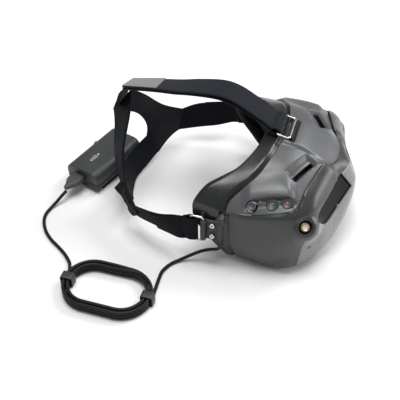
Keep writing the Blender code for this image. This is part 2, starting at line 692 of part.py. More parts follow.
# ---------------------------------------------------------------- straps
TOP_STRAP = [((0, 5.7, 107.4), (1, 0, 0)), ((0, 18, 115), (1, 0, 0)), ((0, 33, 124), (1, 0, 0)),
             ((0, 48, 132), (1, 0, 0)), ((0, 63, 135), (1, 0, -0.03)), ((0, 85, 132.5), (1, 0, -0.08)),
             ((0, 104, 129), (1, 0, -0.14)), ((0, 124, 126.5), (1, 0, -0.22)), ((0, 154, 121.5), (1, 0, -0.34))]
SIDE_STRAP = [((-90, 64.3, 44), (0, 0, 1)), ((-89.5, 78, 40), (0, 0, 1)),
              ((-86.5, 92, 37), (-0.25, 0, 1)), ((-82, 108, 35), (-0.35, -0.1, 1)),
              ((-75.5, 123, 32), (-0.1, -0.05, 1))]
REAR_BAND = [((34.0, 147.4, 21.3), (0.16, -0.35, -0.92)), ((20, 153, 17), (0.1, -0.4, -0.9)),
             ((0, 157, 15), (0, -0.35, -0.93)), ((-20, 154, 17), (-0.1, -0.45, -0.9)),
             ((-34.0, 149.6, 21.3), (-0.15, -0.5, -0.86))]


def strap_with_loop(name, stations, bar, bar_direction, thickness):
    """A ribbon whose first end is rolled round a ring's bar."""
    roll_r = WIRE + 1.7
    band = ribbon(stations, STRAP_WIDTH, thickness)
    roll = placed(prism(circle(roll_r + WEB, 16), -STRAP_WIDTH / 2, STRAP_WIDTH / 2),
                  frame_matrix(bar, bar_direction))
    hole = placed(prism(circle(roll_r, 16), -STRAP_WIDTH, STRAP_WIDTH), frame_matrix(bar, bar_direction))
    joined = apply_boolean(facing_out(band), [roll], "UNION")
    add_object(name, apply_boolean(joined, [hole]), "webbing")


def build_straps():
    tilt = math.radians(TOP_RING_TILT)
    rear = Vector(TOP_BAR) + Vector((0, math.cos(tilt), math.sin(tilt))) * RING_SHORT
    strap_with_loop("top_strap", TOP_STRAP, rear, (1, 0, 0), TOP_STRAP_THICKNESS)
    for side, word in ((1, "right"), (-1, "left")):
        stations = [(mirrored(c, side), mirrored(x, side)) for c, x in SIDE_STRAP]
        bar = mirrored((TAB_X, RING_REAR_Y, RING_Z), side)
        strap_with_loop(f"{word}_strap", stations, bar, (0, 0, 1), SIDE_STRAP_THICKNESS)
    add_object("rear_band", facing_out(ribbon(REAR_BAND, STRAP_WIDTH, WEB)), "webbing")


# Rear yoke, left half: three arms that meet at "middle"; upper arm, outer arm, lower arm.
YOKE = {
    "u0": (1.2, 151.5, 114), "u1": (15, 144.5, 101), "u2": (33, 142.5, 82), "u3": (50, 138.5, 62.5),
    "u4": (74, 125, 44), "end": (75, 125.5, 30.5), "l0": (75, 126, 17), "l1": (65, 133.5, 18),
    "l2": (54, 139, 13.5), "l3": (38, 142, 10.5), "h5": (34, 151, 34), "h4": (38, 150.5, 43),
    "h3": (32, 152, 58.5), "h2": (22, 155.5, 73), "h1": (10, 159.5, 83), "h0": (1.2, 164.5, 87.5),
    "middle": (53, 139, 44.5),
}
YOKE_FACES = ["u0 h0 h1 u1", "u1 h1 h2 u2", "u2 h2 h3 u3", "u3 h3 h4 middle", "u3 middle end u4",
              "middle l1 l0 end", "middle h4 l2 l1", "h4 h5 l3 l2"]
YOKE_SAG = 7.0                 # how far the right half bows back


def build_yoke():
    names = list(YOKE)
    for side, word in ((-1, "right"), (1, "left")):
        verts = []
        for x, y, z in YOKE.values():
            bow = YOKE_SAG * math.sin(math.pi * (z - 10) / 105) if side == -1 else 0.0
            verts.append((side * x, y + bow, z))
        faces = [tuple(names.index(n) for n in face.split()) for face in YOKE_FACES]
        item = add_object(f"yoke_{word}", mesh_from(verts, faces), "yoke_rubber")
        smooth = item.modifiers.new("surface", "SUBSURF")
        smooth.levels = smooth.render_levels = 1
        smooth.boundary_smooth = "PRESERVE_CORNERS"
        wall = item.modifiers.new("wall", "SOLIDIFY")
        wall.thickness = 1.8 * MM
        wall.offset = 0.0
        wall.use_even_offset = True


# ---------------------------------------------------------------- battery
def battery_place():
    turn = Matrix.Rotation(math.radians(BATTERY_TURN), 4, "Z")
    return Matrix.Translation((*BATTERY_CENTRE, 0)) @ turn


def along_x(mesh):
    """Lay a prism's (y, z) outline across the local X axis."""
    return placed(mesh, Matrix(((0, 0, 1), (1, 0, 0), (0, 1, 0))).to_4x4())


def build_battery():
    half, wide, radius = BATTERY_LENGTH / 2, BATTERY_WIDTH / 2, 8.0
    low, split, top = 3.8, 12.0, 25.5
    place = battery_place()
    lower = [(-wide + 3, low), (wide - 3, low), (wide, low + 3), (wide, split), (-wide, split),
             (-wide, low + 3)]
    arc = [math.radians(a) for a in range(0, 91, 18)]
    right = [(wide - radius + radius * math.cos(a), top - radius + radius * math.sin(a)) for a in arc]
    upper = [(-wide, split + GAP), (wide, split + GAP)] + right + [(-y, z) for y, z in reversed(right)]
    hollow_low = [(-wide + 2, low + 2), (wide - 2, low + 2), (wide - 2, split + 5), (-wide + 2, split + 5)]
    hollow_up = [(-wide + 2, split - 5), (wide - 2, split - 5), (wide - 2, top - 8), (wide - 7, top - 2),
                 (-wide + 7, top - 2), (-wide + 2, top - 8)]
    port = prism(rounded_rectangle(13.0, 6.2, 2), -half - 3, -half + 6)
    port = along_x(placed(port, Matrix.Translation((PLUG_SIDE, split + 3.6, 0))))
    well = cylinder_at((10, wide, split + 6.5), (0, 1, 0), 3.6, -6, 4, 16)
    lower_shell = apply_boolean(facing_out(along_x(prism(lower, -half, half))),
                                [along_x(prism(hollow_low, -half + 2, half - 2))])
    upper_shell = apply_boolean(facing_out(along_x(prism(upper, -half, half))),
                                [along_x(prism(hollow_up, -half + 2, half - 2)), port, well])
    add_object("battery_lower_shell", placed(lower_shell, place), "black_plastic")
    add_object("battery_upper_shell", placed(upper_shell, place), "black_plastic")
    cells = prism(rounded_rectangle(54, 30, 6), low + 2.5, top - 7)
    add_object("battery_cells", placed(placed(cells, Matrix.Translation((6, 0, 0))), place), "cell_wrap")
    clip = prism([(-18, 0), (16, 0), (16, low - GAP), (12, low - GAP), (12, 1.6), (-18, 1.6)], -26, 26)
    add_object("battery_clip", placed(along_x(clip), place), "black_plastic")
    button = lathe([(0, -2.5), (3.3, -2.5), (3.3, 0.3), (2.6, 0.8), (0, 0.8)], 16)
    centre = place @ Vector((10, wide, split + 6.5))
    direction = place.to_3x3() @ Vector((0, 1, 0))
    add_object("battery_button", placed(button, frame_matrix(centre, direction)), "black_plastic", centre)


# ---------------------------------------------------------------- lead and its plugs
PLUG_SIDE = 3.0                # how far the battery plug sits off the battery's middle line
HANK_TIE = (8.0, 1.0)          # length along the cord and wall of a tie
FAR_LEAD = [(-49.5, 209.5, 12.2), (-54.5, 212.3, 9.5), (-60.5, 216, 5.2), (-67.5, 219.5, 2.2),
            (-78, 220.8, 1.7), (-88.5, 217.5, 1.7), (-99, 210.3, 1.7), (-107.5, 200.8, 1.7),
            (-114, 190.5, 1.7), (-121, 180.5, 1.7), (-129.5, 172, 1.7), (-138.4, 166.2, 1.7)]
NEAR_LEAD = [(-91.7, 36, 29.3), (-91.7, 36.4, 26.2), (-91.5, 39, 23.2), (-91.2, 43.5, 21.2),
             (-91, 49.5, 18), (-91.2, 56, 13.7), (-92.2, 62.5, 8.9), (-94.2, 68.7, 4.8),
             (-97.7, 74.6, 2.3), (-103, 79.8, 1.7), (-110, 83.4, 1.7), (-118, 85.3, 1.7),
             (-126, 85.8, 1.7), (-133, 85.6, 1.7)]


def build_lead(name, points, spacing=7.0):
    """Round lead through the points of its route, resampled at an even spacing."""
    dense = [Vector(p) for p in smooth_points(points, 12)]
    lengths = [0.0]
    for a, b in zip(dense, dense[1:]):
        lengths.append(lengths[-1] + (b - a).length)
    count = max(2, round(lengths[-1] / spacing))
    picked = []
    for k in range(count + 1):
        want = lengths[-1] * k / count
        i = min(max(np.searchsorted(lengths, want), 1), len(dense) - 1)
        t = (want - lengths[i - 1]) / (lengths[i] - lengths[i - 1])
        picked.append(dense[i - 1].lerp(dense[i], t))
    curve = bpy.data.curves.new(name, "CURVE")
    curve.dimensions = "3D"
    curve.bevel_depth = CORD_R * MM
    curve.bevel_resolution = 2
    curve.use_fill_caps = True
    spline = curve.splines.new("POLY")
    spline.points.add(len(picked) - 1)
    for target, point in zip(spline.points, picked):
        target.co = (*to_world(point), 1.0)
    curve.materials.append(material("cord_rubber"))
    bpy.context.scene.collection.objects.link(bpy.data.objects.new(name, curve))


def hank_outline(inset, steps=8):
    """Outline of the hank, drawn in by inset; long direction along local X."""
    return rounded_rectangle(HANK_LENGTH - 2 * inset, HANK_WIDTH - 2 * inset,
                             HANK_WIDTH / 2 - inset - 0.01, steps)


def build_hank():
    wide, tall = HANK_BUNDLE
    place = Matrix.Translation((*HANK_CENTRE, 0)) @ Matrix.Rotation(math.radians(HANK_TURN), 4, "Z")
    coil = prism(hank_outline(0), HANK_BASE, HANK_BASE + tall, hank_outline(wide))
    add_object("cord_hank", placed(coil, place), "cord_rubber")
    length, wall = HANK_TIE
    room = 0.8
    outer = rounded_rectangle(wide + 2 * (room + wall), tall + 2 * (GAP + 0.9), 1.5, 2)
    inner = rounded_rectangle(wide + 2 * room, tall + 2 * GAP, 0.8, 2)
    for end, word in ((1, "battery"), (-1, "goggles")):
        tie = prism(outer, -length / 2, length / 2, inner)
        centre = (end * (HANK_LENGTH / 2 - wide / 2), 0, HANK_BASE + tall / 2)
        turn = Matrix(((1, 0, 0), (0, 0, -1), (0, 1, 0))).to_4x4()
        add_object(f"tie_{word}_end", placed(tie, place @ Matrix.Translation(centre) @ turn), "cord_rubber")


def build_plugs():
    x, y, z = PLUG_HEAD
    head = cylinder_at(PLUG_HEAD, (1, 0, 0), 4.6, -3.2, 3.2)
    pin = cylinder_at(PLUG_HEAD, (1, 0, 0), 2.7, 2.5, 14, 16)
    stem = placed(prism(rounded_rectangle(5.0, 5.6, 1.8), PLUG_STEM_LOW, z - 1),
                  Matrix.Translation((PLUG_STEM_X, y, 0)))
    plug = apply_boolean(facing_out(head), [pin, stem], "UNION")
    add_object("dc_plug", plug, "black_plastic")
    jack = cylinder_at(PLUG_HEAD, (1, 0, 0), 5.0, 9.6, 19)
    jack = apply_boolean(facing_out(jack), [cylinder_at(PLUG_HEAD, (1, 0, 0), 3.1, 5, 15, 16)])
    add_object("dc_jack", jack, "black_plastic")
    place = battery_place()
    body = [(12.4, 5.6, 0), (14.5, 7.0, -2.0), (14.5, 7.0, -12.0), (7.0, 6.0, -19.0), (5.0, 5.0, -21.5)]
    verts, faces = [], []
    for wide, tall, out in body:
        verts += [(out, y, zz) for y, zz in rounded_rectangle(wide, tall, 2.3, 3)]
    n = len(verts) // len(body)
    for k in range(len(body) - 1):
        for i in range(n):
            m = (i + 1) % n
            faces.append((k * n + i, k * n + m, (k + 1) * n + m, (k + 1) * n + i))
    faces += [tuple(range(n)), tuple(range((len(body) - 1) * n, len(body) * n))]
    plug = placed(mesh_from(verts, faces), Matrix.Translation((-BATTERY_LENGTH / 2 - 0.4, PLUG_SIDE, 15.6)))
    add_object("battery_plug", placed(plug, place), "black_plastic")


def build_all():
    clear_scene()
    surface = housing_surface()
    build_housing(surface)
    build_optics()
    build_electronics()
    build_sockets()
    build_controls(surface)
    build_foam()
    build_side_hardware()
    build_top_hardware()
    build_straps()
    build_yoke()
    build_battery()
    build_lead("lead_near_battery", FAR_LEAD)
    build_lead("lead_near_goggles", NEAR_LEAD)
    build_hank()
    build_plugs()


build_all()
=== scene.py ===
"""Look of the FPV goggles: detailed pieces, materials, lead, lights and camera round the CAD frame.

Shapes are given in the model frame (mm): the wearer looks along -Y, the wearer's right is -X, +Z is up
and the table is Z = 0. world() turns such a point into metres in the frame's own axes.
"""
import math

import bmesh
import bpy
import numpy as np
from mathutils import Matrix, Vector
from mathutils.bvhtree import BVHTree

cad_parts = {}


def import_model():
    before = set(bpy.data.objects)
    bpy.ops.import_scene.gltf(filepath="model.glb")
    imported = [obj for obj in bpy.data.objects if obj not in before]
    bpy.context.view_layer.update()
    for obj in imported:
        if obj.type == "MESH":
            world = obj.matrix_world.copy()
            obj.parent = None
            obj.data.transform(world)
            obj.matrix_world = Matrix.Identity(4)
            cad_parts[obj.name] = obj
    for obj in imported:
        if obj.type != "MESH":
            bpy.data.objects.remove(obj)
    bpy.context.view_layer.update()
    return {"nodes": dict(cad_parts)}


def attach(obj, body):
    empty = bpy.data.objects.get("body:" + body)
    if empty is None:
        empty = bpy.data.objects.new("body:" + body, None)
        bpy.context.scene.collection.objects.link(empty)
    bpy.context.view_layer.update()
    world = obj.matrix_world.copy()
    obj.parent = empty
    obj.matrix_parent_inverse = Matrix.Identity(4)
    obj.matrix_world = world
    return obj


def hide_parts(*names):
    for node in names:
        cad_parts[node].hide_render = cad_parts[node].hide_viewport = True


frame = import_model()

MM = 0.001
ROW_Y = 74.5                   # model Y that becomes the world's Y = 0
GAP = 0.3
LEVELS = 4

# ---------------- shapes repeated from the CAD (mm)
CAGE = [
    [(0, 18, 101), (16, 17.5, 101.5), (34, 21.5, 99.5), (50, 30, 92.6), (62, 43, 86), (74, 55, 81),
     (82, 63, 70), (85, 66, 57), (84.5, 58, 40), (83, 45, 22), (80, 32, 5), (62, 21, 1),
     (38, 16, 9), (17, 12, 25), (0, 12, 35)],
    [(0, 0, 102), (17, 1, 102), (34, 3, 101), (48, 7.5, 97.5), (60, 13, 89.5), (78, 34, 76),
     (85, 34, 66), (86, 31, 60), (86.5, 30, 42), (85, 29, 24), (80.5, 22, 6), (62, 12, 2),
     (38, 7, 9), (17, 3, 25), (0, 2, 35)],
    [(0, -9, 101), (16, -9, 101), (33, -6, 100), (47, -3, 96.5), (60, 2, 89), (74, 12, 79),
     (85.5, 12, 68.5), (88, 11.5, 66), (91, 8, 42), (88, 8, 20), (80, 8, 4.5), (62, -2, 4),
     (38, -5, 11), (17, -9, 25), (0, -10, 33)],
    [(0, -20, 99), (16, -20, 99), (31, -16, 98.5), (46, -13, 95), (60, -9, 89), (72, -8, 81),
     (83, -8, 73.5), (86.5, -9, 71), (91, -10, 44), (88, -9, 20), (82, -5, 3), (62, -14, 6),
     (38, -17, 13), (17, -20, 24), (0, -21, 31)],
    [(0, -52, 86.5), (15.5, -51.5, 86), (26, -40, 92.5), (47, -34, 88), (60, -30.5, 84.5),
     (70, -30, 78.5), (77, -24, 76), (82, -25, 73), (86, -29, 48), (83, -26, 22), (80, -20, 3),
     (60, -28, 9), (38, -30, 16), (17, -32, 24), (0, -33, 28)],
    [(0, -58, 83), (16, -55.5, 82), (30, -47, 86.5), (46, -42, 84.5), (59, -40, 82),
     (69, -39, 76), (76, -36, 70), (78, -37, 66), (80, -38, 50), (79, -36, 26), (77, -34, 6),
     (60, -42, 13), (38, -44, 20), (17, -46, 26), (0, -47, 28)],
    [(0, -64.5, 79), (15, -56, 76.5), (30, -52, 75), (45, -49.5, 72), (57, -47, 68), (65, -46, 65),
     (69, -47, 62), (69.5, -47.5, 59), (69, -47, 50), (70, -44, 28), (68, -44, 11), (56, -52, 17),
     (36, -56, 22), (17, -58, 27), (0, -59, 29)],
    [(0, -70, 62), (9, -69, 59.5), (24, -64, 56), (37, -60, 53.5), (47, -57, 51.5), (53, -55, 50),
     (57, -53.5, 49), (59, -53, 47), (60, -53, 42), (60, -54, 30), (58, -55, 19), (47, -61, 20),
     (30, -65, 24), (15, -67, 28), (0, -68, 30)],
]
NOSE_ROW = [(0, -72, 46), (12, -71, 44), (27, -68.5, 40), (39, -64, 37.5), (47, -60, 36), (53, -57, 37)]
RIM, SEAM, TOP_FRONT, BROW, VISOR_TOP, VISOR_LOW = 0, 1, 4, 5, 6, 7
SIDE_COLUMN, COVER_COLUMN, BOTTOM_COLUMN = 6, 8, 10
PANELS = ["face_flange", "top_housing", "main_shell", "bottom_shell", "front_cover", "visor_right",
          "visor_left"]
SOCKETS = {
    "upper": ((-77.0, -37.0, 61.0), (-0.74, -0.38, 0.56), 11.5),
    "lower": ((-77.0, -23.0, 7.0), (-0.62, -0.32, -0.72), 9.5),
}
SMA_HOLE_R = 6.5
VENT_CENTRE = (-38.0, -25.0, 92.0)
VENT_ALONG = (-25.0, 13.0, 0.0)
VENT_LENGTH, VENT_WIDTH, VENT_DEPTH = 26.0, 5.0, 4.2
LEDGE_RISE, DISH_DEPTH = 4.4, 2.4
PLATEAU_RISE, WELL_DEPTH = 2.6, 5.5
PLUG_HEAD = (-91.0, 36.0, 61.0)
PLUG_STEM_X, PLUG_STEM_LOW = -91.7, 30.0
SIDES = ((1, "right"), (-1, "left"))
CONTROL_NORMAL = (-0.64, 0.03, 0.77)
CONTROLS = {"joystick": (-78.5, 11.0, 73.5), "back": (-76.0, -6.0, 78.2), "record": (-72.0, -18.5, 80.4)}
COVER_SLOT, COVER_SLOT_NORMAL = (-71.8, -42.7, 30.9), (-0.69, -0.72, -0.09)
LINK_BUTTON = (76.0, -6.0, 78.2)
BUTTON_R = 4.9
WIRE, RING_LONG, RING_SHORT = 1.0, 30.0, 12.0
TAB_X, RING_FRONT_Y, RING_REAR_Y, RING_Z = -90.0, 52.3, 64.3, 44.0
TOP_BAR, TOP_RING_TILT = (0.0, -6.0, 105.0), math.radians(12.0)
TOP_RING_OUT = Vector((0, math.cos(TOP_RING_TILT), math.sin(TOP_RING_TILT)))
STRAP_WIDTH = 27.0
TOP_STRAP = [(0, 18, 115), (0, 33, 124), (0, 48, 132), (0, 63, 135), (0, 85, 132.5), (0, 104, 129),
             (0, 124, 126.5), (0, 154, 121.5)]
SIDE_STRAP = [((-89.5, 78, 40), (0, 0, 1)), ((-86.5, 92, 37), (-0.25, 0, 1)),
              ((-82, 108, 35), (-0.35, -0.1, 1)), ((-75.5, 123, 32), (-0.1, -0.05, 1))]
REAR_BAND = [((34.0, 147.4, 21.3), (0.16, -0.35, -0.92)), ((20, 153, 17), (0.1, -0.4, -0.9)),
             ((0, 157, 15), (0, -0.35, -0.93)), ((-20, 154, 17), (-0.1, -0.45, -0.9)),
             ((-34.0, 149.6, 21.3), (-0.15, -0.5, -0.86))]
UPPER_LAYER, LOWER_LAYER = 0.899, 1.45    # how far the top strap's layers lie from its line
HOOK_START = 121.0             # model Y where the hook tape begins on the top strap
# the right strap turns edge-on before it reaches the yoke's arm
RIGHT_TWIST = {2: (-0.38, -0.12, 0.92), 3: (-0.44, -0.14, 0.88)}
# stretch of each side strap that is sewn over the outside of the yoke's arm
SEWN_ENDS = {
    "right": [((-71.5, 132.0, 34.0), (-0.4, -0.13, 0.9)), ((-66.0, 138.0, 37.0), (-0.3, -0.1, 0.95))],
    "left": [((71.0, 130.0, 31.5), (0.0, 0.0, 1.0)), ((63.5, 135.5, 33.0), (0.0, 0.1, 1.0))],
}
# end of each side strap, standing out behind the yoke's arm; lighter on the real strap, it is drawn in the
# side webbing
HOOK_TAIL = [((-68.0, 135.5, 39.0), (0.15, 0.1, 1.0)), ((-62.5, 141.0, 42.5), (0.15, 0.1, 1.0)),
             ((-59.0, 147.0, 47.0), (0.15, 0.1, 1.0))]
# YOKE is the left half (+X), mirrored for the right; there the end of the arm lies further forward
YOKE_RIGHT_END = {"u4": (76, 123.5, 45.5), "end": (81, 111.5, 36), "l0": (75.5, 123, 27),
                  "l1": (64, 134, 21)}
YOKE = {
    "u0": (1.2, 151.5, 114), "u1": (15, 144.5, 101), "u2": (33, 142.5, 82), "u3": (50, 138.5, 62.5),
    "u4": (74, 125, 44), "end": (75, 125.5, 30.5), "l0": (74, 127.5, 19.5), "l1": (65, 133.5, 18),
    "l2": (54, 139, 13.5), "l3": (38, 142, 10.5), "h5": (34, 151, 34), "h4": (38, 150.5, 43),
    "h3": (32, 152, 58.5), "h2": (22, 155.5, 73), "h1": (10, 159.5, 83), "h0": (1.2, 164.5, 87.5),
    "middle": (53, 139, 44.5),
}
YOKE_FACES = ["u0 h0 h1 u1", "u1 h1 h2 u2", "u2 h2 h3 u3", "u3 h3 h4 middle", "u3 middle end u4",
              "middle l1 l0 end", "middle h4 l2 l1", "h4 h5 l3 l2"]
YOKE_SAG = 7.0
BATTERY_LENGTH, BATTERY_WIDTH, BATTERY_TURN, BATTERY_CENTRE = 72.0, 40.0, -17.0, (6.0, 190.0)
PLUG_SIDE = 3.0
CORD_R = 1.65
HANK_CENTRE, HANK_LENGTH, HANK_WIDTH = (-152.0, 124.0), 86.0, 56.0
HANK_BUNDLE, HANK_BASE = (8.6, 10.4), 1.3
# where each successive turn lies in the bundle: inset from the outer edge and height
TURNS = [(2.1, 2.9), (6.0, 2.9), (6.0, 6.3), (6.0, 9.7), (2.1, 9.7), (2.1, 6.3)]
STEPS_PER_TURN = 40
FAR_LEAD = [(-49.5, 209.5, 12.2), (-54.5, 212.3, 9.5), (-60.5, 216, 5.2), (-67.5, 219.5, 2.2),
            (-78, 220.8, 1.7), (-88.5, 217.5, 1.7), (-99, 210.3, 1.7), (-107.5, 200.8, 1.7),
            (-114, 190.5, 1.7), (-121, 180.5, 1.7), (-129.5, 172, 2.4)]
NEAR_LEAD = [(-91.7, 36, 29.3), (-91.7, 36.4, 26.2), (-91.5, 39, 23.2), (-91.2, 43.5, 21.2),
             (-91, 49.5, 18), (-91.2, 56, 13.7), (-92.2, 62.5, 8.9), (-94.2, 68.7, 4.8),
             (-97.7, 74.6, 2.3), (-103, 79.8, 1.7), (-110, 83.4, 1.7), (-118, 85.0, 1.7),
             (-126, 85.3, 1.7)]
FOAM_CENTRE = Vector((0, 35, 55))
FOAM_VOXEL, FOAM_SWELL, CLOTH_FRAMES = 0.0022, 0.0012, 20      # metres, metres, frames
PANEL_RISE = {"visor_right": -1.7, "visor_left": -1.7}
PANEL_WALL = 2.0


# ---------------- helpers
def world(point):
    return Vector((point[0] * MM, (point[1] - ROW_Y) * MM, point[2] * MM))


def unit(vector):
    return Vector(vector).normalized()


def mirrored(vector, side):
    """The same place or direction on the right (side 1) or on the left (side -1)."""
    return (vector[0] * side, vector[1], vector[2])


def smoothstep(low, high, x):
    t = np.clip((x - low) / (high - low), 0, 1)
    return t * t * (3 - 2 * t)


def mesh_from(verts, faces):
    mesh = bpy.data.meshes.new("shape")
    mesh.from_pydata([tuple(v) for v in verts], [], faces)
    bm = bmesh.new()
    bm.from_mesh(mesh)
    bmesh.ops.recalc_face_normals(bm, faces=bm.faces)
    bm.to_mesh(mesh)
    bm.free()
    return mesh


def frame_matrix(origin, z_axis, x_hint=(0, 0, 1)):
    z = unit(z_axis)
    hint = Vector(x_hint)
    if abs(z.dot(hint.normalized())) > 0.95:
        hint = Vector((0, 1, 0))
    x = (hint - z * hint.dot(z)).normalized()
    m = Matrix((x, z.cross(x), z)).transposed().to_4x4()
    m.translation = Vector(origin)
    return m


def side_frame(centre, direction, side, x_hint=(0, 0, 1)):
    """frame_matrix of a place given on the right, on either side."""
    return frame_matrix(mirrored(centre, side), mirrored(direction, side), x_hint)


def station(centre, across):
    """One row of a strap: its centre and the direction across it."""
    return (*centre, *unit(across))


def placed(mesh, matrix):
    mesh.transform(matrix)
    return mesh


def moved(mesh, x, y, z):
    return placed(mesh, Matrix.Translation((x, y, z)))


def lathe(profile, sides=48):
    """Turn a closed (radius, height) outline about local Z."""
    verts, rings, faces = [], [], []
    for radius, height in profile:
        if radius == 0:
            rings.append([len(verts)])
            verts.append((0, 0, height))
        else:
            rings.append(list(range(len(verts), len(verts) + sides)))
            verts += [(x, y, height) for x, y in circle(radius, sides)]
    for a, b in zip(rings, rings[1:] + rings[:1]):
        for k in range(sides):
            n = (k + 1) % sides
            if len(a) > 1 and len(b) > 1:
                faces.append((a[k], a[n], b[n], b[k]))
            elif len(a) > 1:
                faces.append((a[k], a[n], b[0]))
            elif len(b) > 1:
                faces.append((a[0], b[n], b[k]))
    return mesh_from(verts, faces)


def circle(radius, sides):
    turns = [2 * math.pi * k / sides for k in range(sides)]
    return [(radius * math.cos(a), radius * math.sin(a)) for a in turns]


def rounded_rectangle(length, width, radius, steps=6):
    points = []
    for corner, (sx, sy) in enumerate([(1, 1), (-1, 1), (-1, -1), (1, -1)]):
        cx, cy = sx * (length / 2 - radius), sy * (width / 2 - radius)
        for k in range(steps + 1):
            a = math.radians(90 * corner + 90 * k / steps)
            points.append((cx + radius * math.cos(a), cy + radius * math.sin(a)))
    return points


def prism(outline, low, high):
    n = len(outline)
    verts = [(x, y, low) for x, y in outline] + [(x, y, high) for x, y in outline]
    faces = [(k, (k + 1) % n, n + (k + 1) % n, n + k) for k in range(n)]
    return mesh_from(verts, faces + [tuple(range(n - 1, -1, -1)), tuple(range(n, 2 * n))])


def loft(sections):
    """Closed body through outlines that all have the same number of 3-D points."""
    n = len(sections[0])
    verts = [p for section in sections for p in section]
    faces = []
    for k in range(len(sections) - 1):
        for i in range(n):
            m = (i + 1) % n
            faces.append((k * n + i, k * n + m, (k + 1) * n + m, (k + 1) * n + i))
    faces += [tuple(range(n)), tuple(range((len(sections) - 1) * n, len(sections) * n))]
    return mesh_from(verts, faces)


def smooth_points(points, per_span):
    """Catmull-Rom curve through points (any dimension), per_span samples to each span."""
    pts = [np.array(p, float) for p in points]
    pts = [2 * pts[0] - pts[1]] + pts + [2 * pts[-1] - pts[-2]]
    out = []
    for i in range(1, len(pts) - 2):
        a, b, c, d = pts[i - 1:i + 3]
        for k in range(per_span):
            t = k / per_span
            out.append(0.5 * (2 * b + (c - a) * t + (2 * a - 5 * b + 4 * c - d) * t ** 2
                              + (3 * b - a - 3 * c + d) * t ** 3))
    out.append(pts[-2])
    return out


def sweep(path, section, closed=False):
    """Sweep a 2-D section along (centre, side, normal) entries; keeps strap coordinates in mm."""
    count, n = len(path), len(section)
    verts, faces, marks = [], [], []
    run = 0.0
    for i, (centre, side, normal) in enumerate(path):
        if i:
            run += (Vector(centre) - Vector(path[i - 1][0])).length
        for u, v in section:
            verts.append(Vector(centre) + Vector(side) * u + Vector(normal) * v)
            marks.append((run, u, v))
    for i in range(count if closed else count - 1):
        j = (i + 1) % count
        for k in range(n):
            m = (k + 1) % n
            faces.append((i * n + k, i * n + m, j * n + m, j * n + k))
    if not closed:
        faces.append(tuple(range(n - 1, -1, -1)))
        faces.append(tuple((count - 1) * n + k for k in range(n)))
    mesh = mesh_from(verts, faces)
    layer = mesh.attributes.new("strap", "FLOAT_VECTOR", "POINT")
    layer.data.foreach_set("vector", np.array(marks, np.float32).ravel())
    return mesh


def loop_path(points, axes_of):
    """Sweep entries round a closed loop; axes_of(point, along) gives each entry."""
    following = points[1:] + points[:1]
    return [axes_of(p, (b - a).normalized())
            for a, p, b in zip(points[-1:] + points[:-1], points, following)]


def sweep_outline(outline, radius):
    """Round bead along a closed flat outline."""
    path = loop_path([Vector((x, y, 0)) for x, y in outline],
                     lambda p, along: (p, Vector((along.y, -along.x, 0)), Vector((0, 0, 1))))
    return sweep(path, circle(radius, 10), closed=True)


def coords(mesh):
    out = np.zeros(len(mesh.vertices) * 3)
    mesh.vertices.foreach_get("co", out)
    return out.reshape(-1, 3)


def evaluated(item):
    graph = bpy.context.evaluated_depsgraph_get()
    return bpy.data.meshes.new_from_object(item.evaluated_get(graph))


def modified(mesh, kind, steps):
    """The mesh after modifiers of one kind, one for each dictionary of settings."""
    item = bpy.data.objects.new("work", mesh)
    bpy.context.scene.collection.objects.link(item)
    for settings in steps:
        step = item.modifiers.new("step", kind)
        for key, value in settings.items():
            setattr(step, key, value)
    result = evaluated(item)
    bpy.data.objects.remove(item, do_unlink=True)
    return result


def cut(mesh, tools, operation="DIFFERENCE"):
    helpers = [bpy.data.objects.new("tool", tool) for tool in tools]
    for helper in helpers:
        bpy.context.scene.collection.objects.link(helper)
    result = modified(mesh, "BOOLEAN", [{"operation": operation, "solver": "MANIFOLD", "object": helper}
                                        for helper in helpers])
    for helper in helpers:
        bpy.data.objects.remove(helper, do_unlink=True)
    return result


def bevelled(mesh, width, segments=3, angle=35):
    return modified(mesh, "BEVEL", [{"width": width, "segments": segments, "limit_method": "ANGLE",
                                     "angle_limit": math.radians(angle)}])


def subdivided(mesh, levels, **settings):
    return modified(mesh, "SUBSURF", [{"levels": levels, "render_levels": levels, **settings}])


def thickened(mesh, thickness):
    return modified(mesh, "SOLIDIFY", [{"thickness": thickness, "offset": 0.0, "use_even_offset": True}])


def joined(meshes):
    bm = bmesh.new()
    for mesh in meshes:
        bm.from_mesh(mesh)
    result = bpy.data.meshes.new("joined")
    bm.to_mesh(result)
    bm.free()
    return result


def piece(name, mesh, material, nodes=(), body="goggles", slot=None, angle=40):
    """A finished piece: mesh in mm, its material, the CAD nodes it stands for and its body.

    The slot argument is not used.
    """
    mesh.transform(Matrix.Translation((0, -ROW_Y * MM, 0)) @ Matrix.Scale(MM, 4))
    mesh.name = name
    mesh.materials.clear()
    mesh.materials.append(material)
    mesh.shade_smooth()
    mesh.set_sharp_from_angle(angle=math.radians(angle))
    item = bpy.data.objects.new(name, mesh)
    bpy.context.scene.collection.objects.link(item)
    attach(item, body)
    if nodes:
        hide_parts(*nodes)
    return item


def look(name, mesh, material, body="goggles", **settings):
    """The detailed piece that replaces the CAD node of the same name."""
    return piece(f"look_{name}", mesh, material, [name], body, **settings)


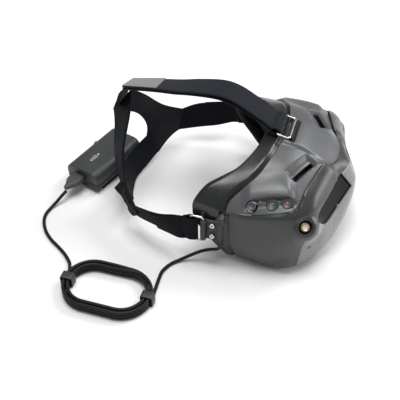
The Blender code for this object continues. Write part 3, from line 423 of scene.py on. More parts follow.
# ---------------- materials
class Nodes:
    """Small wrapper that adds and links shader nodes."""

    def __init__(self, name):
        self.material = bpy.data.materials.new(name)
        self.material.use_nodes = True
        self.tree = self.material.node_tree
        self.shader = self.tree.nodes["Principled BSDF"]

    def fill(self, node, inputs):
        for key, value in inputs.items():
            if isinstance(value, bpy.types.NodeSocket):
                self.tree.links.new(value, node.inputs[key])
            else:
                node.inputs[key].default_value = value
        return node

    def add(self, kind, inputs=None, **settings):
        node = self.tree.nodes.new(kind)
        for key, value in settings.items():
            setattr(node, key, value)
        return self.fill(node, inputs or {})

    def noise(self, vector, size_mm, detail=3.0, roughness=0.55):
        return self.add("ShaderNodeTexNoise", {"Vector": vector, "Scale": 1 / (size_mm * MM),
                                               "Detail": detail, "Roughness": roughness}).outputs["Fac"]

    def spread(self, value, low, high, centre=0.5, reach=0.22):
        return self.add("ShaderNodeMapRange", {
            "Value": value, "From Min": centre - reach, "From Max": centre + reach,
            "To Min": low, "To Max": high}).outputs["Result"]

    def mix(self, factor, a, b):
        node = self.add("ShaderNodeMix", {0: factor, 6: a, 7: b}, data_type="RGBA")
        return node.outputs[2]

    def math(self, operation, a, b=0.0):
        return self.add("ShaderNodeMath", {0: a, 1: b}, operation=operation).outputs[0]

    def finish(self, colour, gloss, height, strength, depth_mm, uniform):
        """Connect the varying inputs, set the uniform ones and give back the material."""
        bump = self.add("ShaderNodeBump", {"Height": height, "Strength": strength,
                                           "Distance": depth_mm * MM})
        self.fill(self.shader, {"Base Color": colour, "Roughness": gloss,
                                "Normal": bump.outputs["Normal"]})
        self.fill(self.shader, {key.replace("_", " "): value for key, value in uniform.items()})
        return self.material


def shade(colour, factor):
    return (*[min(1.0, c * factor) for c in colour], 1.0)


def moulded(name, colour, roughness, grain=0.35, depth=0.02, variation=0.1, wear=0.25, worn=1.7,
            specks=0.0, **uniform):
    """Moulded plastic, rubber or metal: grain, cloudy tone, uneven gloss and lighter worn edges."""
    n = Nodes(name)
    place = n.add("ShaderNodeTexCoord").outputs["Object"]
    cloud = n.noise(place, 24.0)
    fine = n.noise(place, grain, 2.0)
    smear = n.noise(place, 7.0, 5.0, 0.65)
    body = n.mix(n.spread(cloud, 0.0, 1.0), shade(colour, 1 - variation), shade(colour, 1 + variation))
    body = n.mix(n.spread(fine, 0.0, 0.35), body, shade(colour, 1.12))
    edge = n.spread(n.add("ShaderNodeNewGeometry").outputs["Pointiness"], 0.0, wear, 0.56, 0.04)
    body = n.mix(n.math("MULTIPLY", edge, n.spread(smear, 0.3, 1.0)), body, shade(colour, worn))
    if specks:
        dust = n.spread(n.noise(place, 0.7, 1.0), 0.0, specks, 0.72, 0.03)
        body = n.mix(dust, body, shade(colour, 2.4))
    gloss = n.spread(smear, roughness - 0.05, roughness + 0.06)
    return n.finish(body, gloss, fine, 0.6, depth, uniform)


def woven(name, colour, accent, rib=1.1, pick=0.9, depth=0.16, **uniform):
    """Elastic webbing: ribs along the strap crossed by picks."""
    n = Nodes(name)
    mark = n.add("ShaderNodeAttribute", attribute_name="strap").outputs["Vector"]
    place = n.add("ShaderNodeTexCoord").outputs["Object"]
    parts = n.add("ShaderNodeSeparateXYZ", {"Vector": mark})
    run, across = parts.outputs["X"], parts.outputs["Y"]
    ribs = n.math("SINE", n.math("MULTIPLY", across, 2 * math.pi / rib))
    rows = n.math("SINE", n.math("MULTIPLY", run, 2 * math.pi / pick))
    cross = n.math("MULTIPLY", ribs, rows)
    height = n.math("ADD", n.math("MULTIPLY", cross, 0.5), n.math("MULTIPLY", rows, 0.25))
    fuzz = n.noise(place, 0.35, 3.0)
    height = n.math("ADD", height, n.math("MULTIPLY", fuzz, 0.5))
    # painted shade and highlight: the weave's height, fuzz included, colours the webbing darker in its
    # hollows and lighter on its ridges
    tone = n.spread(height, 0.0, 1.0, 0.25, 0.9)
    body = n.mix(tone, shade(colour, 0.6), shade(colour, 1.35))
    body = n.mix(n.spread(n.noise(place, 9.0, 4.0), 0.0, 0.4), body, (*accent, 1.0))
    return n.finish(body, n.spread(fuzz, 0.78, 0.95), height, 0.7, depth, uniform)


def knitted(name, colour, size=1.3, depth=0.25, **uniform):
    """Soft knitted or brushed cloth, independent of any seam or mapping."""
    n = Nodes(name)
    place = n.add("ShaderNodeTexCoord").outputs["Object"]
    cell = n.add("ShaderNodeTexVoronoi", {"Vector": place, "Scale": 1 / (size * MM)}).outputs["Distance"]
    fuzz = n.noise(place, 0.5, 4.0)
    height = n.math("ADD", n.math("MULTIPLY", cell, -0.6), n.math("MULTIPLY", fuzz, 0.6))
    # painted shade and highlight: the knit's height colours the cloth darker in the hollows between its cells
    # and lighter on their tops, with fuzz noise mixed in
    body = n.mix(n.spread(height, 0.0, 1.0, 0.0, 0.45), shade(colour, 0.55), shade(colour, 1.5))
    body = n.mix(n.spread(n.noise(place, 14.0), 0.0, 0.35), body, shade(colour, 1.3))
    return n.finish(body, n.spread(fuzz, 0.82, 0.97), height, 0.6, depth, uniform)


TOP_GREY = moulded("top_grey", (0.085, 0.087, 0.09), 0.34, depth=0.012, variation=0.05, wear=0.3)
SHELL_GREY = moulded("shell_grey", (0.033, 0.0345, 0.036), 0.31, depth=0.012, variation=0.06, wear=0.3)
FLANGE = moulded("flange_rubber", (0.017, 0.018, 0.019), 0.25, grain=0.25, depth=0.01, variation=0.08,
                 wear=0.15, worn=1.4)
VISOR = moulded("visor_gloss", (0.0045, 0.0045, 0.0035), 0.2, grain=1.5, depth=0.001, variation=0.15,
                wear=0.0, Specular_IOR_Level=0.1)
FRONT = moulded("front_satin", (0.17, 0.171, 0.17), 0.3, grain=0.5, depth=0.004, variation=0.05,
                wear=0.0, Coat_Weight=0.25, Coat_Roughness=0.25)
BLACK = moulded("black_plastic", (0.016, 0.017, 0.018), 0.4, depth=0.015, wear=0.3, worn=2.2,
                Specular_IOR_Level=0.35)
TAB = moulded("tab_rubber", (0.022, 0.023, 0.025), 0.48, grain=0.6, depth=0.03, wear=0.4, worn=1.8)
BUTTON = moulded("button_plastic", (0.055, 0.057, 0.06), 0.36, depth=0.01, wear=0.5, worn=2.0)
BATTERY = moulded("battery_plastic", (0.036, 0.038, 0.039), 0.42, grain=0.3, depth=0.02, variation=0.06,
                  wear=0.25, specks=0.15)
BATTERY_LOW = moulded("battery_low_plastic", (0.012, 0.013, 0.0135), 0.5, grain=0.3, depth=0.02, wear=0.2)
CORD = moulded("cord_rubber", (0.009, 0.0095, 0.01), 0.44, grain=0.5, depth=0.03, wear=0.1, specks=0.2,
               Specular_IOR_Level=0.22)
PLUG = moulded("plug_rubber", (0.05, 0.052, 0.054), 0.5, grain=0.4, depth=0.02, wear=0.2)
YOKE_RUBBER = moulded("yoke_rubber", (0.006, 0.007, 0.0095), 0.6, grain=0.5, depth=0.02, wear=0.2,
                      Specular_IOR_Level=0.1)
NICKEL = moulded("nickel", (0.72, 0.72, 0.7), 0.2, grain=0.9, depth=0.01, variation=0.08, wear=0.0,
                 Metallic=1.0)
GOLD = moulded("gold", (0.86, 0.72, 0.46), 0.24, grain=0.5, depth=0.01, variation=0.1, wear=0.0,
               Metallic=1.0)
PTFE = moulded("socket_insulator", (0.72, 0.71, 0.66), 0.45, wear=0.0)
RED = moulded("record_dot", (0.62, 0.06, 0.05), 0.35, grain=0.2, wear=0.0)
PRINT = moulded("printed_mark", (0.42, 0.43, 0.43), 0.5, grain=0.2, wear=0.0)
GLASS = moulded("lens_glass", (0.75, 0.8, 0.86), 0.03, grain=3.0, depth=0.0005, variation=0.03, wear=0.0,
                Transmission_Weight=0.85, IOR=1.5, Coat_Weight=0.4)
SCREEN = moulded("screen_glass", (0.01, 0.011, 0.014), 0.08, grain=3.0, depth=0.0005, wear=0.0)
BOARD = moulded("circuit_board", (0.02, 0.1, 0.055), 0.42, grain=1.2, depth=0.08, variation=0.3, wear=0.2)
CELL_WRAP = moulded("cell_wrap", (0.05, 0.1, 0.3), 0.3, grain=0.8, depth=0.01, wear=0.2)
# webbing, side webbing and thread are woven: painted shade and highlight in the weave
WEBBING = woven("webbing", (0.009, 0.0105, 0.015), (0.014, 0.0155, 0.022), Sheen_Weight=0.1,
                Sheen_Roughness=0.5, Specular_IOR_Level=0.1)
SIDE_WEBBING = woven("side_webbing", (0.005, 0.0058, 0.0085), (0.008, 0.009, 0.013), Sheen_Weight=0.05,
                     Sheen_Roughness=0.5, Specular_IOR_Level=0.08)
# hook tape and foam are knitted: painted shade and highlight in the knit
HOOK_TAPE = knitted("hook_tape", (0.15, 0.152, 0.144), size=0.8, depth=0.2, Sheen_Weight=0.3)
FOAM = knitted("face_foam", (0.012, 0.0125, 0.014), Sheen_Weight=0.2, Specular_IOR_Level=0.15)
THREAD = woven("thread", (0.02, 0.022, 0.03), (0.03, 0.03, 0.04), rib=0.4, pick=0.5, depth=0.08)


# ---------------- camera, lights and floor
# camera: direction in degrees and lens in mm, then metres back from its target, to the left and down
AZIMUTH, ELEVATION, LENS = -73, 44, 68.4
CAMERA_FAR, CAMERA_LEFT, CAMERA_DOWN = 0.7, 0.0792, 0.0636
CAMERA_TARGET = (0, 0, 101)
FLOOR_REACH = 6.0
SKY_STRENGTH = 0.32
SOFTBOXES = {  # place and aim in metres, width, height, watts
    "key": ((0.75, -0.75, 1.2), (0.0, -0.05, 0.03), 0.6, 0.6, 11.0),
    "top": ((-0.1, 0.05, 1.5), (0.0, 0.0, 0.0), 0.8, 0.8, 17.0),
    "front": ((0.5, -1.25, 0.3), (0.0, -0.05, 0.08), 0.8, 0.45, 6.0),
}


def build_stage():
    azimuth, elevation = math.radians(AZIMUTH), math.radians(ELEVATION)
    back = Vector((math.sin(azimuth) * math.cos(elevation), -math.cos(azimuth) * math.cos(elevation),
                   math.sin(elevation)))
    view = -back
    right = view.cross(Vector((0, 0, 1))).normalized()
    up = right.cross(view)
    eye = world(CAMERA_TARGET) + back * CAMERA_FAR - right * CAMERA_LEFT - up * CAMERA_DOWN
    data = bpy.data.cameras.new("camera")
    data.lens = LENS
    data.sensor_width = 36.0
    camera = bpy.data.objects.new("camera", data)
    camera.matrix_world = Matrix.Translation(eye) @ Matrix((right, up, back)).transposed().to_4x4()
    bpy.context.scene.collection.objects.link(camera)
    bpy.context.scene.camera = camera

    corners = [(x * FLOOR_REACH, y * FLOOR_REACH, 0) for x, y in ((-1, -1), (1, -1), (1, 1), (-1, 1))]
    floor_mesh = bpy.data.meshes.new("floor")
    floor_mesh.from_pydata(corners, [], [(0, 1, 2, 3)])
    floor = bpy.data.objects.new("floor", floor_mesh)
    bpy.context.scene.collection.objects.link(floor)
    floor_mesh.materials.append(moulded("floor_paper", (0.86, 0.86, 0.86), 0.9, grain=2.0, depth=0.002,
                                        variation=0.004, wear=0.0))

    sky = bpy.data.worlds.new("studio")
    bpy.context.scene.world = sky
    sky.use_nodes = True
    background = sky.node_tree.nodes["Background"]
    background.inputs["Color"].default_value = (1.0, 1.0, 1.0, 1.0)
    background.inputs["Strength"].default_value = SKY_STRENGTH

    for name, (place, aim, width, height, watts) in SOFTBOXES.items():
        light = bpy.data.lights.new(name, "AREA")
        light.shape = "RECTANGLE"
        light.size, light.size_y = width, height
        light.energy = watts
        item = bpy.data.objects.new(name, light)
        item.location = place
        item.rotation_euler = (Vector(aim) - Vector(place)).to_track_quat("-Z", "Y").to_euler()
        bpy.context.scene.collection.objects.link(item)
    bpy.context.scene.view_settings.view_transform = "Standard"


build_stage()


# ---------------- housing
def panel_of(ring, column):
    if ring == RIM:
        return "face_flange"
    if ring < TOP_FRONT:
        if column < SIDE_COLUMN:
            return "top_housing"
        return "main_shell" if column < BOTTOM_COLUMN else "bottom_shell"
    if ring < VISOR_TOP:
        if ring == BROW and COVER_COLUMN <= column < BOTTOM_COLUMN:
            return "front_cover"
        return "main_shell" if column < BOTTOM_COLUMN else "bottom_shell"
    return "visor" if 1 <= column < SIDE_COLUMN else "front_cover"


def crease_of(ring_a, column_a, ring_b, column_b):
    """How sharp the cage edge between two cage points is."""
    if ring_a == ring_b:
        if ring_a in (RIM, SEAM):
            return 0.5
        if ring_a == TOP_FRONT and max(column_a, column_b) <= SIDE_COLUMN:
            return 0.95
        if ring_a in (VISOR_TOP, VISOR_LOW) and max(column_a, column_b) <= SIDE_COLUMN:
            return 0.95
        return 0.0
    if column_a == SIDE_COLUMN and max(ring_a, ring_b) <= TOP_FRONT:
        return 0.75
    if column_a == SIDE_COLUMN + 1 and SEAM <= min(ring_a, ring_b) and max(ring_a, ring_b) <= TOP_FRONT:
        return 0.35
    if column_a == 2 and min(ring_a, ring_b) >= TOP_FRONT and max(ring_a, ring_b) <= VISOR_TOP:
        return 0.8
    if column_a == BOTTOM_COLUMN:
        return 0.5
    return 0.0


def housing_cage():
    bm = bmesh.new()
    crease = bm.edges.layers.float.new("crease_edge")
    last = len(CAGE[0]) - 1
    grids = {}
    for side in (-1, 1):
        for r, ring in enumerate(CAGE):
            for c, (x, y, z) in enumerate(ring):
                if c in (0, last) and side == 1:
                    grids[side, r, c] = grids[-1, r, c]
                else:
                    grids[side, r, c] = bm.verts.new((side * x, y, z))
    nose = {}
    for side in (-1, 1):
        for c, (x, y, z) in enumerate(NOSE_ROW):
            nose[side, c] = nose[-1, 0] if c == 0 and side == 1 else bm.verts.new((side * x, y, z))
        nose[side, len(NOSE_ROW)] = grids[side, VISOR_LOW, 7]

    def quad(corners, side, panel):
        face = bm.faces.new(corners if side == -1 else corners[::-1])
        if panel == "visor":
            panel = "visor_right" if side == -1 else "visor_left"
        face.material_index = PANELS.index(panel)

    for side in (-1, 1):
        for r in range(len(CAGE) - 1):
            for c in range(last):
                quad([grids[side, r, c], grids[side, r, c + 1], grids[side, r + 1, c + 1],
                      grids[side, r + 1, c]], side, panel_of(r, c))
        for c in range(len(NOSE_ROW)):
            top = [grids[side, VISOR_LOW, c], grids[side, VISOR_LOW, c + 1]]
            low = [grids[side, VISOR_LOW, last - 1 - c], grids[side, VISOR_LOW, last - c]]
            quad([*top, nose[side, c + 1], nose[side, c]], side, "front_cover")
            quad([nose[side, c], nose[side, c + 1], *low], side, "front_cover")
    place = {v: key for key, v in grids.items()}
    for edge in bm.edges:
        a, b = (place.get(v) for v in edge.verts)
        if a and b:
            edge[crease] = crease_of(a[1], a[2], b[1], b[2])
    mesh = bpy.data.meshes.new("housing_cage")
    bm.to_mesh(mesh)
    bm.free()
    for _ in PANELS:
        mesh.materials.append(SHELL_GREY)
    return mesh


def normals_of(points, faces):
    mesh = bpy.data.meshes.new("probe")
    mesh.from_pydata(points.tolist(), [], faces)
    out = np.zeros(len(points) * 3)
    mesh.vertex_normals.foreach_get("vector", out)
    bpy.data.meshes.remove(mesh)
    return out.reshape(-1, 3)


def housing_surface(levels):
    mesh = subdivided(housing_cage(), levels)
    faces = [tuple(p.vertices) for p in mesh.polygons]
    return coords(mesh), faces, [p.material_index for p in mesh.polygons]


def cone_height(distance, radius):
    """Outer profile of an antenna socket's cone, above its centre, at a distance from its axis."""
    return 3.2 - 0.42 * np.maximum(0, distance - (radius - 3.5)) ** 1.45


def raise_cone(points, centre, direction, radius):
    c, n = np.array(centre), np.array(unit(direction))
    rel = points - c
    t = rel @ n
    d = np.linalg.norm(rel - np.outer(t, n), axis=1)
    h = cone_height(d, radius)
    new = 0.5 * (t + h + np.sqrt((t - h) ** 2 + 1.5))
    flat = 1 - smoothstep(radius - 3.5, radius - 1, d)
    new = new * (1 - flat) + h * flat
    use = (d < radius + 9) & (t > -16)
    points[use] += np.outer(new - t, n)[use]


def carve_vent(points, normals, side):
    """The long sloping hollow that each top vent lies in."""
    along = np.array(unit(mirrored(VENT_ALONG, side)))
    front = np.array((along[1] * side, -along[0] * side, 0.0))
    front = -front if front[1] > 0 else front
    rel = points - np.array(mirrored(VENT_CENTRE, side))
    u, v = rel @ along, rel @ front
    slope = np.where(v < 0, smoothstep(-10.5, -2.6, v), 1 - smoothstep(2.3, 4.9, v))
    depth = VENT_DEPTH * (1 - smoothstep(12.8, 16.2, np.abs(u))) * slope * (np.abs(rel[:, 2]) < 14)
    points -= normals * depth[:, None]


def raise_ledge(points, normals, side):
    """The overhang behind a shoulder's controls and the dished pad they stand in."""
    n = np.array(unit(mirrored(CONTROL_NORMAL, side)))
    start = np.array(mirrored(CONTROLS["joystick"], side))
    row = np.array(mirrored(CONTROLS["record"], side)) - start
    row = row / np.linalg.norm(row)
    rise = np.cross(row, n)
    rise = -rise if rise[2] < 0 else rise
    rel = points - start
    s, w, t = rel @ row, rel @ rise, rel @ n
    edge = 6.4 - 5.0 * np.abs((s - 15) / 23) ** 3
    lip = smoothstep(-2.2, 1.6, w - edge) * (1 - smoothstep(4, 24, w - edge))
    dish = smoothstep(-9.0, -3.0, w - edge) * (1 - smoothstep(-3.0, 0.6, w - edge))
    mask = smoothstep(-10, 0, s) * (1 - smoothstep(32, 41, s)) * (np.abs(t) < 15)
    points += normals * ((LEDGE_RISE * lip - DISH_DEPTH * dish) * mask)[:, None]


def shape_top(points):
    """Raised middle of the top housing, with a well round the strap ring's bracket."""
    x, y, z = np.abs(points[:, 0]), points[:, 1], points[:, 2]
    plateau = (1 - smoothstep(16.5, 20.5, x)) * smoothstep(-44, -12, y) * (1 - smoothstep(-1.5, 1, y))
    well = (1 - smoothstep(14.2, 16.6, x)) * smoothstep(-11.6, -9.0, y) * (1 - smoothstep(-1.5, 1, y))
    points[:, 2] += (PLATEAU_RISE * plateau - WELL_DEPTH * well) * (z > 80)


def soften_flange(points, normals, faces, panels):
    """Chamfered gutter where the flange meets the housing."""
    edge_panels = {}
    for face, panel in zip(faces, panels):
        for v in face:
            edge_panels.setdefault(v, set()).add(panel)
    flange = PANELS.index("face_flange")
    seam = points[[v for v, own in edge_panels.items() if flange in own and len(own) > 1]]
    rear = np.array([v for v, own in edge_panels.items() if flange in own])
    gap = np.min(np.linalg.norm(points[rear][:, None, :] - seam[None, :, :], axis=2), axis=1)
    points[rear] -= normals[rear] * (2.6 * (1 - smoothstep(0.4, 5.2, gap)))[:, None]


def panel_solid(points, normals, faces, panels, panel):
    points = points + normals * PANEL_RISE.get(PANELS[panel], 0.0)
    if PANELS[panel] == "main_shell":
        x, y, z = points.T
        brow = smoothstep(-27, -31, y) * smoothstep(66, 74, z) * smoothstep(19, 26, np.abs(x))
        points = points + normals * (2.0 * brow)[:, None]
    own = [f for f, p in zip(faces, panels) if p == panel]
    edge_use = {}
    for face in own:
        for a, b in zip(face, face[1:] + face[:1]):
            edge_use.setdefault(frozenset((a, b)), []).append((a, b))
    border = [use[0] for use in edge_use.values() if len(use) == 1]
    inward = {}
    for a, b in border:
        along = (Vector(points[b]) - Vector(points[a])).normalized()
        for v in (a, b):
            inward.setdefault(v, []).append(Vector(normals[v]).cross(along).normalized())
    index, outer = {}, []
    for face in own:
        for v in face:
            if v not in index:
                index[v] = len(outer)
                shift, drop = Vector(), 0.0
                point, normal = Vector(points[v]), Vector(normals[v])
                if v in inward:
                    mean = sum(inward[v], Vector()).normalized()
                    shift = mean / max(mean.dot(inward[v][0]), 0.5)
                    drop = 0.3
                outer.append((point + shift * 0.17 - normal * drop,
                              point + shift * (GAP / 2 + 0.5) - normal * PANEL_WALL))
    n = len(outer)
    verts = [p for p, _ in outer] + [p for _, p in outer]
    solid = [tuple(index[v] for v in f) for f in own]
    solid += [tuple(n + index[v] for v in reversed(f)) for f in own]
    solid += [(index[b], index[a], n + index[a], n + index[b]) for a, b in border]
    return mesh_from(verts, solid)


def snapped(tree, point, direction):
    axis = unit(direction)
    return tree.ray_cast(Vector(point) + axis * 15, -axis)[0]


def cylinder_at(centre, direction, radius, low, high, sides=48):
    return placed(prism(circle(radius, sides), low, high), frame_matrix(centre, direction))


CAD_POINTS, CAD_FACES, _ = housing_surface(1)
CAD_TREE = BVHTree.FromPolygons(CAD_POINTS.tolist(), CAD_FACES)
POINTS, FACES, FACE_PANELS = housing_surface(LEVELS)


def build_housing():
    normals = normals_of(POINTS, FACES)
    soften_flange(POINTS, normals, FACES, FACE_PANELS)
    for side in (1, -1):
        raise_ledge(POINTS, normals, side)
        carve_vent(POINTS, normals, side)
    shape_top(POINTS)
    for centre, direction, radius in SOCKETS.values():
        for side in (1, -1):
            raise_cone(POINTS, mirrored(centre, side), mirrored(direction, side), radius)
    normals = normals_of(POINTS, FACES)
    solids = {name: panel_solid(POINTS, normals, FACES, FACE_PANELS, k) for k, name in enumerate(PANELS)}

    cones, holes, clearances = [], [], {"upper": [], "lower": []}
    for level, (centre, direction, radius) in SOCKETS.items():
        for side in (1, -1):
            place = side_frame(centre, direction, side)
            rim = [(d, float(cone_height(d, radius))) for d in
                   [radius + 1.7 - k * (3.6 / 8) for k in range(9)] if d > SMA_HOLE_R]
            cones.append(placed(lathe([(0, -8), (radius + 1.7, -8), *rim, (0, 3.2)]), place))
            holes.append(placed(lathe([(0, -15), (SMA_HOLE_R, -15), (SMA_HOLE_R, 2.3),
                                       (SMA_HOLE_R + 0.35, 2.9), (SMA_HOLE_R + 1.2, 3.3),
                                       (SMA_HOLE_R + 1.2, 8), (0, 8)]), place))
            clearances[level].append(placed(prism(circle(radius + 2.0, 64), -14, 8), place))
    solids["main_shell"] = cut(cut(solids["main_shell"], cones, "UNION"), holes)
    solids["bottom_shell"] = cut(solids["bottom_shell"], clearances["lower"])
    for name in ("front_cover", "visor_right", "visor_left"):
        solids[name] = cut(solids[name], clearances["upper"])
    wells = [cylinder_at(snapped(CAD_TREE, centre, CONTROL_NORMAL), CONTROL_NORMAL, BUTTON_R + 0.35, -9, 9)
             for centre in CONTROLS.values()]
    wells.append(cylinder_at(LINK_BUTTON, mirrored(CONTROL_NORMAL, -1), BUTTON_R + 0.35, -9, 9))
    for side in (-1, 1):
        vent = prism(rounded_rectangle(VENT_LENGTH, VENT_WIDTH, 1.5), -12, 12)
        wells.append(placed(vent, side_frame(VENT_CENTRE, (0, 0, 1), side, mirrored(VENT_ALONG, side))))
    solids["top_housing"] = cut(solids["top_housing"], wells)
    materials = [FLANGE, TOP_GREY, SHELL_GREY, SHELL_GREY, FRONT, VISOR, VISOR]
    for name, material in zip(PANELS, materials):
        look(name, solids[name], material, angle=32)
    spot = snapped(BVHTree.FromPolygons(POINTS.tolist(), FACES), COVER_SLOT, COVER_SLOT_NORMAL)
    # painted shade: a small black block stands in for the shade inside the slot in the front cover
    slot_shade_block = bevelled(prism(rounded_rectangle(3.8, 2.6, 0.8), -0.8, 0.12), 0.1, 2)
    piece("cover_slot_shade", placed(slot_shade_block, frame_matrix(spot, COVER_SLOT_NORMAL, (0.6, -0.6, 0.5))), BLACK)
    # painted shade: black slats over a black floor plate a little way down each vent; the floor plate is a
    # dark sheet standing in for the shade inside the vent
    for side, word in reversed(SIDES):
        grille_and_shade_floor = [moved(prism(rounded_rectangle(0.9, 5.6, 0.3, 2), -9.0, -8.0), -12.5 + 2.5 * k, 0, 0)
                  for k in range(11)]
        grille_and_shade_floor.append(prism(rounded_rectangle(28, 7, 1.5), -10.4, -9.3))
        place = side_frame(VENT_CENTRE, (0, 0, 1), side, mirrored(VENT_ALONG, side))
        piece(f"vent_grille_{word}", placed(joined(grille_and_shade_floor), place), BLACK)


build_housing()


# ---------------- sockets and controls
def build_sockets():
    ridges = [point for k in range(8)
              for point in ((4.15, -3.4 + 0.62 * k), (3.85, -3.4 + 0.62 * k + 0.31))]
    body = [(0, -9), (5.0, -9), (5.0, -4.4), (4.5, -4.1), (4.15, -3.9), *ridges, (4.0, 1.7), (3.7, 2.0),
            (2.6, 2.0), (2.4, 1.8), (2.4, -1.5), (0, -1.5)]
    r = SMA_HOLE_R - GAP
    washer = [(5.05, -8.5), (r, -8.5), (r, -5.0), (5.9, -4.6), (5.05, -4.6)]
    core = [(0, -1.4), (2.35, -1.4), (2.35, 1.1), (0.85, 1.1), (0.8, 0.6), (0, 0.6)]
    for level, (centre, direction, _) in SOCKETS.items():
        for side, word in SIDES:
            place = side_frame(centre, direction, side)
            piece(f"socket_washer_{level}_{word}", placed(lathe(washer), place), BLACK)
            look(f"antenna_socket_{level}_{word}", placed(lathe(body), place), GOLD, angle=30)
            piece(f"socket_core_{level}_{word}", placed(lathe(core), place), PTFE)


def build_button(name, centre, normal):
    profile = [(0, -3), (BUTTON_R, -3), (BUTTON_R, 0.3), (BUTTON_R - 0.15, 0.75), (BUTTON_R - 0.55, 0.95),
               (BUTTON_R - 0.9, 0.85), (BUTTON_R - 1.2, 0.55), (1.6, 0.35), (0, 0.3)]
    look(name, placed(lathe(profile), frame_matrix(centre, normal)), BUTTON, f"{name}_body")


def build_controls():
    normal = unit(CONTROL_NORMAL)
    spots = {name: snapped(CAD_TREE, centre, normal) for name, centre in CONTROLS.items()}
    build_button("back_button", spots["back"], normal)
    up = Vector((0, 0, 1))
    arc = []
    for k in range(15):
        a = math.radians(-60 + 20 * k)
        radial = Vector((math.cos(a), math.sin(a), 0))
        arc.append((radial * 1.5 + up * 0.42, radial, up))
    hook = sweep(arc, [(-0.2, -0.15), (0.2, -0.15), (0.2, 0.12), (-0.2, 0.12)])
    piece("back_mark", placed(hook, frame_matrix(spots["back"], normal)), PRINT, body="back_button_body",
          slot="black_plastic")
    build_button("record_button", spots["record"], normal)
    dot = lathe([(0, 0.1), (1.15, 0.1), (1.1, 0.55), (0.6, 0.7), (0, 0.72)], 32)
    piece("record_dot", placed(dot, frame_matrix(spots["record"], normal)), RED, body="record_button_body")
    left_normal = unit(mirrored(CONTROL_NORMAL, -1))
    build_button("link_button", snapped(CAD_TREE, LINK_BUTTON, left_normal), left_normal)
    pivot = spots["joystick"] - normal * 5.0
    cap = lathe([(0, 1.5), (1.4, 1.5), (1.4, 5.0), (1.8, 5.3), (3.3, 5.5), (3.75, 6.1), (3.9, 7.2),
                 (3.7, 8.1), (3.2, 8.6), (2.2, 8.5), (1.5, 8.2), (0, 8.1)])
    crown = []
    for k in range(24):
        rib = moved(prism(rounded_rectangle(0.5, 0.42, 0.15, 2), 6.0, 8.0), 3.78, 0, 0)
        crown.append(placed(rib, Matrix.Rotation(2 * math.pi * k / 24, 4, "Z")))
    look("joystick_cap", placed(joined([cap, *crown]), frame_matrix(pivot, normal)), BUTTON,
         "joystick_cap_body")
    collar = lathe([(4.75, 0.2), (5.1, 0.2), (5.15, 0.9), (5.05, 1.1), (4.9, 1.0), (4.75, 0.6)])
    piece("joystick_collar", placed(collar, frame_matrix(pivot + normal * 3.4, normal)), BLACK)
    # light chamfer rings round the wells
    rim = [(BUTTON_R + 0.3, -0.8), (BUTTON_R + 1.1, -0.8), (BUTTON_R + 1.1, 0.02), (BUTTON_R + 0.85, 0.16),
           (BUTTON_R + 0.4, -0.1)]
    for name in ("back", "record"):
        piece(f"{name}_well_rim", placed(lathe(rim), frame_matrix(spots[name], normal)), TOP_GREY,
              slot="shell_plastic")
    stick = Vector(CONTROLS["joystick"])
    row = (Vector(CONTROLS["back"]) - stick).normalized()
    rise = row.cross(normal)
    rise = rise if rise.z > 0 else -rise
    bars = []
    for k in (-1, 1):
        spot = snapped(CAD_TREE, stick + row * 7.6 + rise * 3.6 + rise.cross(normal) * 0.55 * k, normal)
        bar = prism(rounded_rectangle(1.7, 0.4, 0.15, 3), -0.3, 0.12)
        bars.append(placed(bar, frame_matrix(spot, normal, rise)))
    piece("pause_mark", joined(bars), PRINT, slot="shell_plastic")


build_sockets()
build_controls()


# ---------------- strap hardware
def build_ring(name, bar_centre, along_bar, outward, body):
    bar, out = unit(along_bar), unit(outward)
    normal = bar.cross(out)
    outline = rounded_rectangle(RING_LONG, RING_SHORT, 2.6, 8)
    path = loop_path([Vector(bar_centre) + bar * u + out * (v + RING_SHORT / 2) for u, v in outline],
                     lambda p, along: (p, normal.cross(along), normal))
    look(name, sweep(path, circle(WIRE, 16), closed=True), NICKEL, body)


def build_side_hardware():
    head = [(0, 0), (2.95, 0), (3.0, 0.25), (2.85, 0.6), (2.3, 1.15), (1.75, 1.35), (1.25, 1.25),
            (1.0, 0.9), (0.85, 0.35), (0, 0.3)]
    for side, word in SIDES:
        bar = Vector(mirrored((TAB_X, RING_FRONT_Y, RING_Z), side))
        build_ring(f"{word}_strap_ring", bar, (0, 0, 1), (0, 1, 0), f"{word}_ring_body")
        # tab: a rounded plate on the temple whose rear end rolls round the ring's front bar
        roll = cut(prism(circle(2.8, 40), -12, 12), [prism(circle(1.5, 32), -20, 20)])
        # plate plane: local x backwards from the bar, local y up, local z outwards
        turn = (Matrix.Translation(bar) @ Matrix(((0, 0, side, 0), (-1, 0, 0, 0), (0, 1, 0, 0), (0, 0, 0, 1)))
                @ Matrix.Translation((8.3, 0, 1.2)))
        strip = placed(prism(rounded_rectangle(18.5, 24.0, 3.2), 0, 1.6), turn)
        rim = placed(sweep_outline(rounded_rectangle(16.6, 22.2, 2.6), 0.45), turn)
        roll = moved(roll, *bar)
        look(f"{word}_ring_tab", joined([bevelled(strip, 0.35, 2), rim, bevelled(roll, 0.2, 2)]), TAB)
        for level, z in (("upper", 50.0), ("lower", 36.5)):
            place = side_frame((-TAB_X - 1.2 + GAP, 44.2, z), (1, 0, 0), -side)
            look(f"{word}_{level}_rivet", placed(lathe(head, 40), place), NICKEL)
            # painted shade: a black disc in the dip of each rivet head stands in for the shade down its hole
            hole_shade_disc = lathe([(0, 0.25), (0.95, 0.25), (0.9, 0.45), (0, 0.4)], 24)
            piece(f"{word}_{level}_rivet_hole", placed(hole_shade_disc, place), BLACK)


